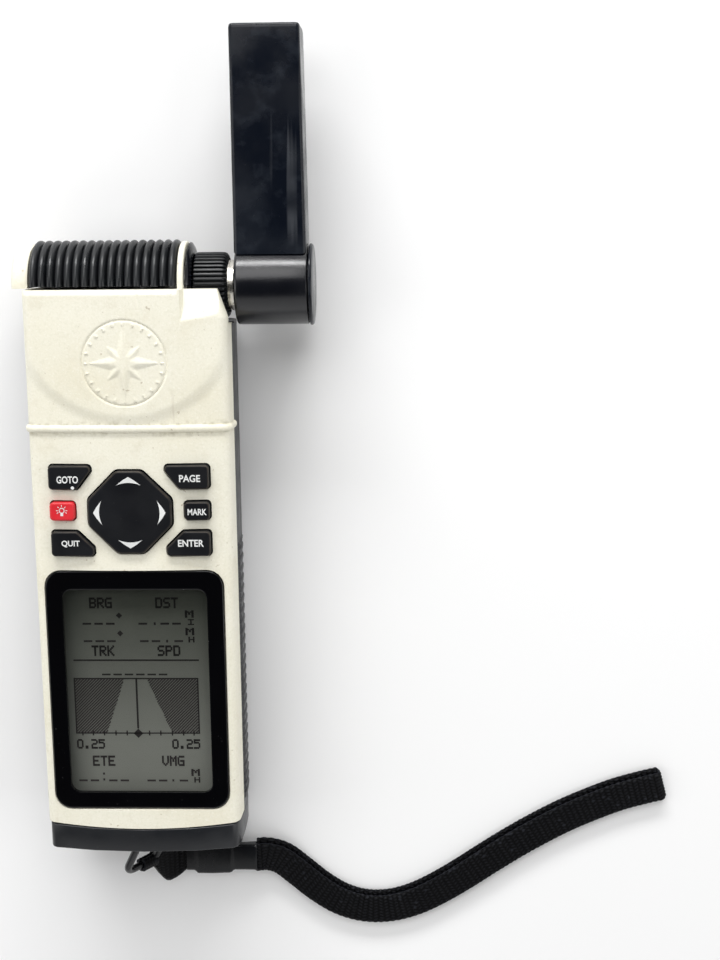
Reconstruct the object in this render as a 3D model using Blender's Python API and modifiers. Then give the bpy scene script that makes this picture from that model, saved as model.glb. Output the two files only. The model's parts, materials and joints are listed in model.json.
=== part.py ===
"""A hand-held aviation GPS receiver with a swivelling blade antenna and a webbing wrist strap.

The receiver lies on its back, screen up. The origin is the centre of its flat back, +X runs to
its right-hand side, +Y to the antenna end and +Z out of the screen. Sizes below are in
millimetres; MM turns them into metres where a shape is made.
"""
import math

import bmesh
import bpy
from mathutils import Matrix, Vector

MM = 0.001
OBJECT_NAME = "aviation_gps"

# ---- driving dimensions -------------------------------------------------------------------
GAP = 0.3                   # clearance between pieces that touch
BODY_HALF_WIDTH = 25.3
BACK_FLAT_HALF = 19.0       # half width of the flat that the case lies on
BODY_TOP_Y = 66.2           # end of the cream cover at the antenna end
COVER_END_MID, COVER_END_CORNER = -71.9, -70.5
DOOR_END_MID, DOOR_END_CORNER = -78.3, -77.5
PART_LINE_Z = 21.0          # where the cover meets the rear case along the body
HEAD_LINE_Z = 16.0          # and round the head
HEAD_SKIRT_Y = 57.5         # the cover reaches down to HEAD_LINE_Z above this
CROWN_Z = 30.1              # middle of the slightly crowned front
EDGE_Z = 28.8
WALL = 2.2
INNER_HALF = 22.8
INNER_TOP_Z = 27.7
LENS_INNER_TOP_Z = 26.0

AXIS_Y, AXIS_Z = 66.6, 15.7  # the antenna socket's axis, along X
GRIP_RADIUS = 11.4
GRIP_X = (-23.6, 12.6)
GRIP_RIBS = 17
POCKET_X = 14.4             # the case is cut away right of this for the lock collar
POCKET_Y = 57.5
POCKET_TOP_Z = 24.9

RIDGE_Y, RIDGE_WIDTH, RIDGE_HALF = 32.4, 1.7, 26.0
PLATEAU_RADIUS, PLATEAU_CENTRE_Y, PLATEAU_Z = 29.2, 62.7, 30.9

RIB_START_Y, RIB_PITCH, RIB_COUNT = -69.6, 2.78, 25

KEY_TOP_Z = 31.0
KEY_FLANGE_Z = (26.4, 27.3)
KEY_TRAVEL = 0.8
ROCKER_Y, ROCKER_HALF, ROCKER_FLAT = 11.7, 10.45, 3.4
ROCKER_TOP_Z = 31.2

LENS = (-22.45, 22.45, -66.6, -3.6)
LCD_WINDOW = (-18.3, 18.3, -62.3, -8.4)

CELL_RADIUS, CELL_LENGTH = 7.1, 50.4
CELL_X, CELL_Z = 7.8, 11.7
CELL_START_Y = -74.6

HUB_X = (26.5, 44.4)
HUB_RADIUS = 9.8
BLADE_END_Y = 128.7
BLADE_Z = (9.1, 22.3)

LATCH_X, LATCH_Z = 0.0, 17.0
LATCH_SHAFT = 1.7
BAIL_AXIS_Y = -80.6
BAIL_LEAN_DEG = -35.0       # the bail's plane, turned from upright about Y
BAIL_FLIP_DEG = 30.0        # and swung towards -X about its pin
BAIL_HALF_WIDTH, BAIL_LENGTH, BAIL_WIRE = 5.6, 10.6, 1.0

STRAP_WIDTH, STRAP_THICK = 9.4, 2.6   # both layers of the doubled webbing
STRAP_ROUTE = [                       # middle of the strap's upper side, tip last
    (26.2, -91.4, 3.4), (29.5, -91.5, 2.9), (33.5, -93.2, 2.0), (38.0, -97.0, 1.5),
    (43.5, -101.6, 1.5), (49.5, -105.4, 1.5), (56.0, -107.4, 1.5), (63.0, -107.4, 1.5),
    (70.0, -105.5, 1.5), (77.0, -102.0, 1.5), (84.0, -97.6, 1.5), (91.0, -92.8, 1.5),
    (98.0, -88.2, 1.5), (105.0, -84.0, 1.5), (112.0, -80.2, 1.5), (119.0, -77.0, 1.5),
    (126.0, -74.2, 1.5), (132.0, -72.4, 1.5), (137.5, -71.0, 1.5),
]
LOOP_ROUTE = [                        # the stretch from the bail to the keeper
    (-1.4, -93.4, 9.2), (-0.4, -93.8, 7.6), (1.2, -93.6, 6.0), (3.2, -92.6, 4.9),
    (4.2, -92.0, 4.5),
]
KEEPER_X, KEEPER_Y, KEEPER_Z = (6.7, 25.9), -91.6, 3.9


# ---- scene and materials ------------------------------------------------------------------
def clear_scene():
    for old in list(bpy.data.objects):
        bpy.data.objects.remove(old)


def new_collection(name):
    made = bpy.data.collections.new(name)
    bpy.context.scene.collection.children.link(made)
    return made


def material(name, colour, roughness, metallic=0.0, alpha=1.0):
    made = bpy.data.materials.new(name)
    made.use_nodes = True
    shader = made.node_tree.nodes["Principled BSDF"]
    shader.inputs["Base Color"].default_value = (*colour, 1.0)
    shader.inputs["Roughness"].default_value = roughness
    shader.inputs["Metallic"].default_value = metallic
    shader.inputs["Alpha"].default_value = alpha
    made.diffuse_color = (*colour, alpha)
    return made


clear_scene()
PARTS = new_collection(OBJECT_NAME)
CUTTERS = new_collection(OBJECT_NAME + "_cutters")

CREAM = material("cream_plastic", (0.83, 0.80, 0.67), 0.55)
BLACK = material("black_plastic", (0.020, 0.020, 0.022), 0.45)
RUBBER = material("black_rubber", (0.030, 0.031, 0.033), 0.75)
RED = material("red_rubber", (0.62, 0.03, 0.04), 0.55)
NICKEL = material("nickel", (0.72, 0.70, 0.66), 0.25, 1.0)
BRASS = material("gold_contact", (0.80, 0.62, 0.28), 0.30, 1.0)
COPPER = material("copper", (0.72, 0.38, 0.24), 0.35, 1.0)
CLEAR = material("clear_lens", (0.70, 0.72, 0.70), 0.08, alpha=0.25)
MASK = material("lens_print", (0.010, 0.010, 0.012), 0.20)
LCD = material("lcd_glass", (0.30, 0.32, 0.28), 0.25)
PANEL = material("white_panel", (0.80, 0.82, 0.78), 0.60)
BOARD = material("circuit_board", (0.03, 0.20, 0.09), 0.50)
CHIP = material("chip_package", (0.04, 0.04, 0.045), 0.50)
CELL = material("cell_sleeve", (0.16, 0.17, 0.20), 0.35)
WEBBING = material("black_webbing", (0.018, 0.018, 0.020), 0.90)
VINYL = material("black_vinyl", (0.03, 0.03, 0.033), 0.40)
INSULATOR = material("white_insulator", (0.85, 0.85, 0.83), 0.50)


# ---- outlines -----------------------------------------------------------------------------
def arc(centre, radius, start_deg, end_deg, steps):
    points = []
    for i in range(steps + 1):
        angle = math.radians(start_deg + (end_deg - start_deg) * i / steps)
        points.append((centre[0] + radius * math.cos(angle), centre[1] + radius * math.sin(angle)))
    return points


def rounded_rect(low_u, high_u, low_v, high_v, radius, steps=4):
    corners = [
        (high_u - radius, low_v + radius, -90),
        (high_u - radius, high_v - radius, 0),
        (low_u + radius, high_v - radius, 90),
        (low_u + radius, low_v + radius, 180),
    ]
    points = []
    for u, v, start in corners:
        points += arc((u, v), radius, start, start + 90, steps)
    return points


def mirrored(half):
    """A closed outline from its right half, which runs from the bottom up to u = 0."""
    left = [(-u, v) for u, v in reversed(half) if u > 1e-6]
    return half + left


def body_section(grow=0.0, front_only=False):
    """The body's outline across X and Z. grow moves its front and sides out."""
    wide = BODY_HALF_WIDTH + grow
    front = [
        (wide, PART_LINE_Z), (wide - 0.3, 25.0), (wide - 0.9, 27.5 + grow),
        (wide - 1.4, 28.3 + grow), (wide - 2.3, EDGE_Z + grow), (13.0, 29.7 + grow),
        (0.0, CROWN_Z + grow),
    ]
    if front_only:
        return mirrored([(wide, PART_LINE_Z - 0.8)] + front)
    corner = arc((BACK_FLAT_HALF, 5.4), 5.4, -90, -15, 4)
    return mirrored(corner + [(wide - 0.35, 9.0), (wide - 0.1, 14.0)] + front)


def end_arc(mid, corner, half, steps=8):
    """Points along a slightly bowed end, from -X to +X."""
    points = []
    for i in range(steps + 1):
        u = -1 + 2 * i / steps
        points.append((u * half, mid + (corner - mid) * u * u))
    return points


def clipped(corners, reach):
    """An outline with each of its corners cut off at this distance along both edges."""
    points = []
    for i, corner in enumerate(corners):
        here = Vector(corner)
        for other in (corners[i - 1], corners[(i + 1) % len(corners)]):
            points.append(tuple(here + (Vector(other) - here).normalized() * reach))
    return points


def key_outline(x0, x1, y0, y1, cut_x, cut_y):
    """A key's plan, in which the corner that faces the rocker is cut off."""
    inner = (x1 if x1 < 0 else x0, y0 if y0 > ROCKER_Y else y1)
    corners = [(x0, y0), (x1, y0), (x1, y1), (x0, y1)]
    points = []
    for i, (x, y) in enumerate(corners):
        if cut_x == 0 or (x, y) != inner:
            points.append((x, y))
            continue
        ends = [(x + math.copysign(cut_x, x), y), (x, y + math.copysign(cut_y, y - ROCKER_Y))]
        arrives_level = corners[i - 1][1] == y
        points += ends if arrives_level else ends[::-1]
    return clipped(points, 0.8)


def octagon(half, flat, centre_y):
    points = [(half, -flat), (half, flat), (flat, half), (-flat, half)]
    points += [(-half, flat), (-half, -flat), (-flat, -half), (flat, -half)]
    return [(x, y + centre_y) for x, y in points]


# ---- shapes -------------------------------------------------------------------------------
def add_mesh(name, mesh, finish=None):
    made = bpy.data.objects.new(name, mesh)
    if finish is None:
        CUTTERS.objects.link(made)
        made.hide_render = True
        made.display_type = "WIRE"
    else:
        PARTS.objects.link(made)
        mesh.materials.clear()
        mesh.materials.append(finish)
    return made


def baked(temporary, name, finish, weld=True):
    """The evaluated mesh of a temporary object as a new one, in world space."""
    bpy.context.view_layer.update()
    graph = bpy.context.evaluated_depsgraph_get()
    mesh = bpy.data.meshes.new_from_object(temporary.evaluated_get(graph))
    mesh.transform(temporary.matrix_world)
    bpy.data.objects.remove(temporary)
    form = bmesh.new()
    form.from_mesh(mesh)
    if weld:
        bmesh.ops.remove_doubles(form, verts=form.verts, dist=1e-6)
    bmesh.ops.recalc_face_normals(form, faces=form.faces)
    form.to_mesh(mesh)
    form.free()
    mesh.name = name
    return add_mesh(name, mesh, finish)


TURN = {                                    # where an outline's u, v and thickness point
    "Z": Matrix.Identity(4),
    "Y": Matrix.Rotation(math.radians(90), 4, "X"),
    "X": Matrix.Rotation(math.radians(90), 4, "Z") @ Matrix.Rotation(math.radians(90), 4, "X"),
}


def slab(name, outline, low, high, axis="Z", finish=None, holes=()):
    """A flat outline given thickness: u, v are X, Y for axis Z, X, Z for Y and Y, Z for X."""
    curve = bpy.data.curves.new(name, "CURVE")
    curve.dimensions = "2D"
    curve.fill_mode = "BOTH"
    curve.extrude = (high - low) / 2 * MM
    for points in (outline, *holes):
        spline = curve.splines.new("POLY")
        spline.points.add(len(points) - 1)
        for point, (u, v) in zip(spline.points, points):
            point.co = (u * MM, v * MM, 0, 1)
        spline.use_cyclic_u = True
    made = bpy.data.objects.new(name + "_outline", curve)
    CUTTERS.objects.link(made)
    middle = (low + high) / 2 * MM
    shift = {"Z": (0, 0, middle), "Y": (0, middle, 0), "X": (middle, 0, 0)}[axis]
    made.matrix_world = Matrix.Translation(shift) @ TURN[axis]
    return baked(made, name, finish)


def box(name, low, high, finish=None):
    form = bmesh.new()
    bmesh.ops.create_cube(form, size=1.0)
    size = [(b - a) * MM for a, b in zip(low, high)]
    middle = [(a + b) / 2 * MM for a, b in zip(low, high)]
    bmesh.ops.scale(form, vec=size, verts=form.verts)
    bmesh.ops.translate(form, vec=middle, verts=form.verts)
    mesh = bpy.data.meshes.new(name)
    form.to_mesh(mesh)
    form.free()
    return add_mesh(name, mesh, finish)


def turned(name, profile, place, axis="X", steps=32, finish=None):
    """A profile of (along, radius) points turned about a line through place along axis."""
    form = bmesh.new()
    points = [form.verts.new((radius * MM, 0, along * MM)) for along, radius in profile]
    for first, second in zip(points, points[1:]):
        form.edges.new((first, second))
    if profile[0][1] > 1e-6:
        form.edges.new((points[-1], points[0]))
    mesh = bpy.data.meshes.new(name)
    form.to_mesh(mesh)
    form.free()
    made = bpy.data.objects.new(name + "_profile", mesh)
    CUTTERS.objects.link(made)
    screw = made.modifiers.new("turn", "SCREW")
    screw.steps = steps
    screw.render_steps = steps
    screw.merge_threshold = 1e-6
    screw.use_merge_vertices = True
    lie = {
        "X": Matrix.Rotation(math.radians(90), 4, "Y"),
        "Y": Matrix.Rotation(math.radians(-90), 4, "X"),
        "Z": Matrix.Identity(4),
    }[axis]
    made.matrix_world = Matrix.Translation([c * MM for c in place]) @ lie
    return baked(made, name, finish)


def cylinder(name, place, axis, low, high, radius, steps=24, finish=None):
    return turned(name, [(low, 0), (low, radius), (high, radius), (high, 0)], place, axis, steps, finish)


def tube(name, place, axis, low, high, inner, outer, steps=24, finish=None):
    ring = [(low, inner), (low, outer), (high, outer), (high, inner)]
    return turned(name, ring, place, axis, steps, finish)


def wire(name, points, radius, sides=2, finish=None):
    """A round wire along a smooth curve's points; sides is the curve's bevel_resolution."""
    curve = bpy.data.curves.new(name, "CURVE")
    curve.dimensions = "3D"
    curve.bevel_depth = radius * MM
    curve.bevel_resolution = sides
    curve.use_fill_caps = True
    spline = curve.splines.new("POLY")
    spline.points.add(len(points) - 1)
    for point, place in zip(spline.points, points):
        point.co = (*[c * MM for c in place], 1)
    made = bpy.data.objects.new(name + "_line", curve)
    CUTTERS.objects.link(made)
    return baked(made, name, finish)


def smooth_route(points, per_span):
    """A Catmull-Rom curve through the points."""
    route = [Vector(p) for p in points]
    padded = [2 * route[0] - route[1]] + route + [2 * route[-1] - route[-2]]
    line = []
    for a, b, c, d in zip(padded, padded[1:], padded[2:], padded[3:]):
        for i in range(per_span):
            t = i / per_span
            line.append(0.5 * (2 * b + (c - a) * t + (2 * a - 5 * b + 4 * c - d) * t * t
                               + (3 * b - a - 3 * c + d) * t * t * t))
    return line + [route[-1]]


def ribbon(name, line, width, thick, finish, lean=None):
    """A flat strap along a line; lean gives the direction of its thickness at each end."""
    form = bmesh.new()
    rings = []
    first, last = lean or (Vector((0, 0, 1)), Vector((0, 0, 1)))
    for i, place in enumerate(line):
        ahead = (line[min(i + 1, len(line) - 1)] - line[max(i - 1, 0)]).normalized()
        up = first.lerp(last, i / (len(line) - 1))
        up = (up - ahead * up.dot(ahead)).normalized()
        side = ahead.cross(up)
        ring = []
        for across, rise in ((-0.5, -0.5), (0.5, -0.5), (0.5, 0.5), (-0.5, 0.5)):
            ring.append(form.verts.new((place + side * across * width + up * rise * thick) * MM))
        rings.append(ring)
    for a, b in zip(rings, rings[1:]):
        for k in range(4):
            form.faces.new((a[k], a[(k + 1) % 4], b[(k + 1) % 4], b[k]))
    form.faces.new(rings[0])
    form.faces.new(rings[-1])
    bmesh.ops.recalc_face_normals(form, faces=form.faces)
    mesh = bpy.data.meshes.new(name)
    form.to_mesh(mesh)
    form.free()
    return add_mesh(name, mesh, finish)


def boolean(target, tool, operation="DIFFERENCE"):
    step = target.modifiers.new(f"{operation.lower()}_{tool.name}", "BOOLEAN")
    step.operation = operation
    step.solver = "EXACT"
    step.object = tool
    return target


def cut(target, *tools):
    for tool in tools:
        boolean(target, tool)
    return target


def joined(target, *tools):
    for tool in tools:
        boolean(target, tool, "UNION")
    return target


def bevelled(target, width, segments=1):
    step = target.modifiers.new("edges", "BEVEL")
    step.width = width * MM
    step.segments = segments
    step.limit_method = "ANGLE"
    step.angle_limit = math.radians(40)
    return target


def empty_on_axis(name, place, children):
    """An empty at a joint's axis, which its moving pieces hang from."""
    made = bpy.data.objects.new(name, None)
    PARTS.objects.link(made)
    made.location = [c * MM for c in place]
    bpy.context.view_layer.update()
    for child in children:
        child.parent = made
        child.matrix_parent_inverse = made.matrix_world.inverted()
    return made


SOCKET = (0, AXIS_Y, AXIS_Z)


# ---- case ---------------------------------------------------------------------------------
def plan_cutter(name, bottom_mid, bottom_corner, top):
    """The body's plan as a solid, which its sections are intersected with."""
    half = BODY_HALF_WIDTH + 2
    outline = end_arc(bottom_mid, bottom_corner, half) + [(half, top), (-half, top)]
    return slab(name, outline, -2, 40)


def inner_space(name, low_z, high_z):
    """The hollow inside the case, open at the battery door's end."""
    section = slab(name, rounded_rect(-INNER_HALF, INNER_HALF, 2.2, high_z, 3.4), -90, BODY_TOP_Y - WALL, "Y")
    above = box(name + "_above", (-40, -95, low_z), (40, 80, 45))
    pocket = box(name + "_pocket", (POCKET_X - 2, POCKET_Y - 2, -5), (40, 80, 45))
    boolean(section, above, "INTERSECT")
    return cut(section, pocket)


SCREW_PLACES = [(-20.0, 45.0), (20.0, 45.0), (-20.0, -66.3), (20.0, -66.3)]


def make_front_cover():
    cover = slab("front_cover", body_section(), -90, 80, "Y", CREAM)
    boolean(cover, plan_cutter("cover_plan", COVER_END_MID, COVER_END_CORNER, BODY_TOP_Y), "INTERSECT")
    cut(cover, box("cover_below", (-40, -95, -5), (40, HEAD_SKIRT_Y, PART_LINE_Z)))
    cut(cover, box("cover_below_head", (-40, HEAD_SKIRT_Y - 1, -5), (40, 80, HEAD_LINE_Z)))
    arch = arc((0, PLATEAU_CENTRE_Y), PLATEAU_RADIUS, -146, -34, 12)
    plan = slab("plateau_plan", arch + [(24.2, BODY_TOP_Y - 0.1), (-24.2, BODY_TOP_Y - 0.1)], 20, 40)
    crown = mirrored([(24.0, 27.0), (24.0, 29.3), (12.0, 30.5), (0.0, PLATEAU_Z)])
    plateau = slab("plateau", crown, 20, 80, "Y")
    boolean(plateau, plan, "INTERSECT")
    joined(cover, plateau)
    ridge_section = body_section(RIDGE_HALF - BODY_HALF_WIDTH, front_only=True)
    ridge = slab("ridge", ridge_section, RIDGE_Y - RIDGE_WIDTH / 2, RIDGE_Y + RIDGE_WIDTH / 2, "Y")
    cut(ridge, box("ridge_below", (-40, 0, 0), (40, 60, PART_LINE_Z + 0.05)))
    joined(cover, ridge)
    low_space = inner_space("cover_space", 10, LENS_INNER_TOP_Z)
    high_space = inner_space("key_space", 10, INNER_TOP_Z)
    cut(high_space, box("lens_land", (-40, -95, 0), (40, -1.5, 45)))
    cut(cover, low_space, high_space)
    cheek = tube("cheek", SOCKET, "X", 12.9, POCKET_X, 5.2, 11.0, 32)
    cut(cheek, box("cheek_below", (0, 40, -5), (30, BODY_TOP_Y + 0.2, HEAD_LINE_Z)))
    cut(cheek, box("cheek_inner", (0, 40, HEAD_LINE_Z - 1), (30, BODY_TOP_Y - 1.5, 40)))
    joined(cover, cheek)
    cut(cover, box("collar_pocket", (POCKET_X, POCKET_Y, -5), (40, 80, POCKET_TOP_Z)))
    cut(cover, cylinder("jack_way", SOCKET, "X", 5, 20, 5.2))
    cut(cover, cylinder("nut_way", SOCKET, "X", 4, 12.6, 7.5))
    facet = [(57.8, 30.7), (67.0, 26.2), (67.0, 40.0), (57.8, 40.0)]
    cut(cover, slab("facet", facet, 14.7, 40, "X"))
    slant = [(22.6, 67.0), (26.4, 56.2), (40.0, 56.2), (40.0, 67.0)]
    cut(cover, slab("corner_slant", slant, 15, 40))
    near, far = BODY_TOP_Y - 1.2, BODY_TOP_Y + 1.0
    edge = [(near, 40.0), (near, 30.9), (far, 28.7), (far, 40.0)]
    cut(cover, slab("end_chamfer", edge, -40, 12.8, "X"))
    low_x, high_x, low_y, high_y = LENS
    recess = rounded_rect(low_x - GAP, high_x + GAP, low_y - GAP, high_y + GAP, 4.5)
    cut(cover, slab("lens_recess", recess, 27.0, 40))
    low_x, high_x, low_y, high_y = LCD_WINDOW
    window = rounded_rect(low_x - 1.5, high_x + 1.5, low_y - 1.5, high_y + 1.5, 0.8)
    cut(cover, slab("lcd_way", window, 20, 28))
    for name, outline in key_plans(0.35).items():
        cut(cover, slab(name + "_way", outline, 20, 40))
    cut(cover, slab("rocker_way", octagon(ROCKER_HALF + 0.45, ROCKER_FLAT + 0.2, ROCKER_Y), 20, 40))
    for i, (x, y) in enumerate(SCREW_PLACES):
        top = 0.6 + (LENS_INNER_TOP_Z if y < 0 else INNER_TOP_Z)
        joined(cover, cylinder(f"cover_post_{i}", (x, y, 0), "Z", PART_LINE_Z, top, 1.9, 12))
        cut(cover, cylinder(f"cover_post_hole_{i}", (x, y, 0), "Z", 15, 25.5, 1.3, 10))
    return cover


def make_rear_case():
    case = slab("rear_case", body_section(), -90, 80, "Y", BLACK)
    boolean(case, plan_cutter("case_plan", COVER_END_MID, COVER_END_CORNER, BODY_TOP_Y), "INTERSECT")
    cut(case, box("case_above", (-40, -95, PART_LINE_Z - 0.4), (40, 80, 50)))
    cut(case, box("case_above_head", (-40, HEAD_SKIRT_Y - 0.3, HEAD_LINE_Z - 0.3), (40, 80, 50)))
    space = inner_space("case_space", 1, 40)
    for i, (x, y) in enumerate(SCREW_PLACES):
        cut(space, cylinder(f"case_post_{i}", (x, y, 0), "Z", -1, 50, 2.4, 12))
    cut(case, space)
    cut(case, box("case_pocket", (POCKET_X, POCKET_Y, -5), (40, 80, 40)))
    cut(case, cylinder("case_jack_way", SOCKET, "X", 4, 12.6, 7.5))
    cut(case, cylinder("case_bore", SOCKET, "X", 5, 20, 5.2))
    for i, (x, y) in enumerate(SCREW_PLACES):
        hole = [(-1, 0), (-1, 2.2), (1.5, 2.2), (1.5, 1.3), (25, 1.3), (25, 0)]
        cut(case, turned(f"case_post_hole_{i}", hole, (x, y, 0), "Z", 12))
    for side in (-1, 1):
        cut(case, gasket_box(f"gasket_groove_{side}", side, 0.3))
        joined(case, slab(f"grip_ribs_{side}", rib_comb(side), 8.0, 19.2))
    cut(case, slab("label_recess", rounded_rect(-15.3, 15.3, -55.3, -24.7, 1.5, 2), -1, 0.9))
    cut(case, cylinder("port_way", (*PORT_PLACE, 0), "Z", -1, 4, 5.3, 24))
    return case


def rib_comb(side):
    """The plan of one side's finger ribs, joined by a spine that lies inside the wall."""
    spine, root, tip = BODY_HALF_WIDTH - 1.4, BODY_HALF_WIDTH - 0.8, BODY_HALF_WIDTH + 0.5
    points = [(side * spine, RIB_START_Y), (side * root, RIB_START_Y)]
    for i in range(RIB_COUNT):
        y = RIB_START_Y + RIB_PITCH * (i + 0.3)
        for x, along in ((root, 0.0), (tip, 0.15), (tip, 0.45), (root, 0.6)):
            points.append((side * x, y + along * RIB_PITCH))
    end = RIB_START_Y + RIB_PITCH * (RIB_COUNT + 0.5)
    return points + [(side * root, end), (side * spine, end)]


PORT_PLACE = (0.0, 42.0)


def make_data_port():
    profile = [(0.6, 3.6), (0.6, 5.0), (8.6, 5.0), (8.6, 0), (7.2, 0), (7.2, 3.6)]
    return turned("data_port", profile[::-1], (*PORT_PLACE, 0), "Z", 24, BLACK)


def make_port_cap():
    profile = [(0.35, 0), (0.35, 3.0), (0.6, 3.3), (6.2, 3.3), (6.2, 0)]
    return turned("port_cap", profile, (*PORT_PLACE, 0), "Z", 20, RUBBER)


def gasket_box(name, side, grow, finish=None):
    """One side's seal between the cover and the rear case, or with grow the groove that it lies in."""
    x0, x1 = sorted((side * (23.6 - grow), side * (24.3 + grow)))
    low = (x0, -69.0 - grow, PART_LINE_Z - 1.1 - grow)
    return box(name, low, (x1, HEAD_SKIRT_Y - 1.4 + grow, PART_LINE_Z - 0.3 + grow), finish)


def make_case_screw(index, x, y):
    profile = [(0.3, 0), (0.3, 1.7), (0.5, 1.9), (1.2, 1.9), (1.2, 1.0), (24.6, 1.0), (24.6, 0)]
    return turned(f"case_screw_{index}", profile, (x, y, 0), "Z", 12, NICKEL)


# ---- keys and display ---------------------------------------------------------------------
KEY_PLANS = {                   # left edge, right edge, bottom, top and the cut corner's two sides
    "key_goto": (-20.1, -9.3, 17.3, 23.6, 3.7, 4.7),
    "key_page": (8.8, 20.0, 17.3, 23.6, 3.7, 4.7),
    "key_light": (-20.1, -13.6, 9.5, 14.4, 0.0, 0.0),
    "key_mark": (13.4, 20.0, 9.5, 14.4, 0.0, 0.0),
    "key_quit": (-20.1, -9.1, 0.4, 7.0, 4.3, 4.2),
    "key_enter": (8.8, 20.0, 0.4, 7.0, 4.3, 4.2),
}


def key_plans(grow):
    plans = {}
    for name, (x0, x1, y0, y1, cut_x, cut_y) in KEY_PLANS.items():
        plans[name] = key_outline(x0 - grow, x1 + grow, y0 - grow, y1 + grow, cut_x, cut_y)
    return plans


def make_key(name, outline):
    x0, x1, y0, y1, _, _ = KEY_PLANS[name]
    key = slab(name, outline, KEY_FLANGE_Z[0], KEY_TOP_Z, "Z", RED if name == "key_light" else RUBBER)
    bevelled(key, 0.35)
    low_z, high_z = KEY_FLANGE_Z
    flange = box(name + "_flange", (x0 - 0.7, y0 - 0.7, low_z), (x1 + 0.7, y1 + 0.7, high_z))
    joined(key, flange)
    empty_on_axis(name + "_axis", ((x0 + x1) / 2, (y0 + y1) / 2, KEY_FLANGE_Z[0]), [key])
    return key


def make_rocker():
    """The pad tips about X on its pivot, and the pivot tips about Y."""
    pad = slab("rocker_pad", octagon(ROCKER_HALF, ROCKER_FLAT, ROCKER_Y), 28.3, ROCKER_TOP_Z, "Z", RUBBER)
    bevelled(pad, 0.5)
    cut(pad, cylinder("rocker_pad_seat", (0, ROCKER_Y, 0), "Z", 20, 29.0, 3.4, 16))
    pivot = cylinder("rocker_pivot", (0, ROCKER_Y, 0), "Z", 26.2, 28.7, 2.8, 16, RUBBER)
    empty_on_axis("rocker_axis", (0, ROCKER_Y, 27.4), [pad, pivot])


def make_display():
    lens = slab("display_lens", rounded_rect(*LENS, 4.2), 28.1, 29.3, "Z", CLEAR)
    bevelled(lens, 0.25)
    border = rounded_rect(LENS[0] + 0.3, LENS[1] - 0.3, LENS[2] + 0.3, LENS[3] - 0.3, 4.0)
    slab("lens_mask", border, 27.3, 27.8, "Z", MASK, [rounded_rect(*LCD_WINDOW, 2.5)])
    low_x, high_x, low_y, high_y = LCD_WINDOW
    box("lcd_glass", (low_x - 1.1, low_y - 1.1, 25.2), (high_x + 1.1, high_y + 1.1, 26.7), LCD)
    outer = rounded_rect(low_x - 2.6, high_x + 2.6, low_y - 1.9, high_y + 2.6, 1.0, 2)
    inner = rounded_rect(low_x - 1.3, high_x + 1.3, low_y - 1.3, high_y + 1.3, 0.4, 2)
    slab("lcd_frame", outer, 22.6, 25.1, "Z", PANEL, [inner])
    box("backlight_panel", (low_x - 1.0, low_y - 1.0, 23.2), (high_x + 1.0, high_y + 1.0, 24.8), PANEL)
    box("keypad_mat", (-19.4, -1.2, 24.3), (19.4, 24.6, 25.3), RUBBER)


# ---- electronics and cells ----------------------------------------------------------------
def make_electronics():
    board = slab("main_board", rounded_rect(-17.0, 17.0, -66.0, 54.8, 1.0, 2), 20.6, 22.2, "Z", BOARD)
    box("processor_chip", (-9.0, 28.5, 22.5), (7.0, 44.5, 24.3), CHIP)
    box("rf_shield", (-12.0, 35.0, 15.6), (10.0, 53.0, 20.3), NICKEL)
    cylinder("backup_cell", (-12.0, 50.0, 0), "Z", 22.5, 24.8, 4.2, 20, NICKEL)
    return board


def make_cells():
    tray = box("battery_tray", (-16.6, -60.0, 9.6), (16.6, 33.5, 19.4), BLACK)
    for side in (-1, 1):
        bore = (side * CELL_X, 0, CELL_Z)
        cut(tray, cylinder(f"cell_way_{side}", bore, "Y", -70, 31.4, CELL_RADIUS + 0.35, 24))
    for i in range(4):
        side = -1 if i % 2 == 0 else 1
        start = CELL_START_Y + (CELL_LENGTH + 0.35) * (i // 2)
        low, high = start, start + CELL_LENGTH
        profile = [(low, 0), (low, 5.6), (low + 0.4, CELL_RADIUS), (high - 1.6, CELL_RADIUS)]
        profile += [(high - 1.2, 5.6), (high - 1.2, 2.7), (high, 2.7), (high, 0)]
        turned(f"battery_{i + 1}", profile, (side * CELL_X, 0, CELL_Z), "Y", 20, CELL)
    first = CELL_START_Y + 2 * CELL_LENGTH + 0.35 + 0.7
    for side, word in ((-1, "left"), (1, "right")):
        line = []
        for i in range(29):
            angle = math.radians(i * 40)
            x, z = side * CELL_X + 3.2 * math.cos(angle), CELL_Z + 3.2 * math.sin(angle)
            line.append((x, first + 3.0 * i / 28, z))
        wire(f"contact_spring_{word}", line, 0.32, 1, NICKEL)


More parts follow.
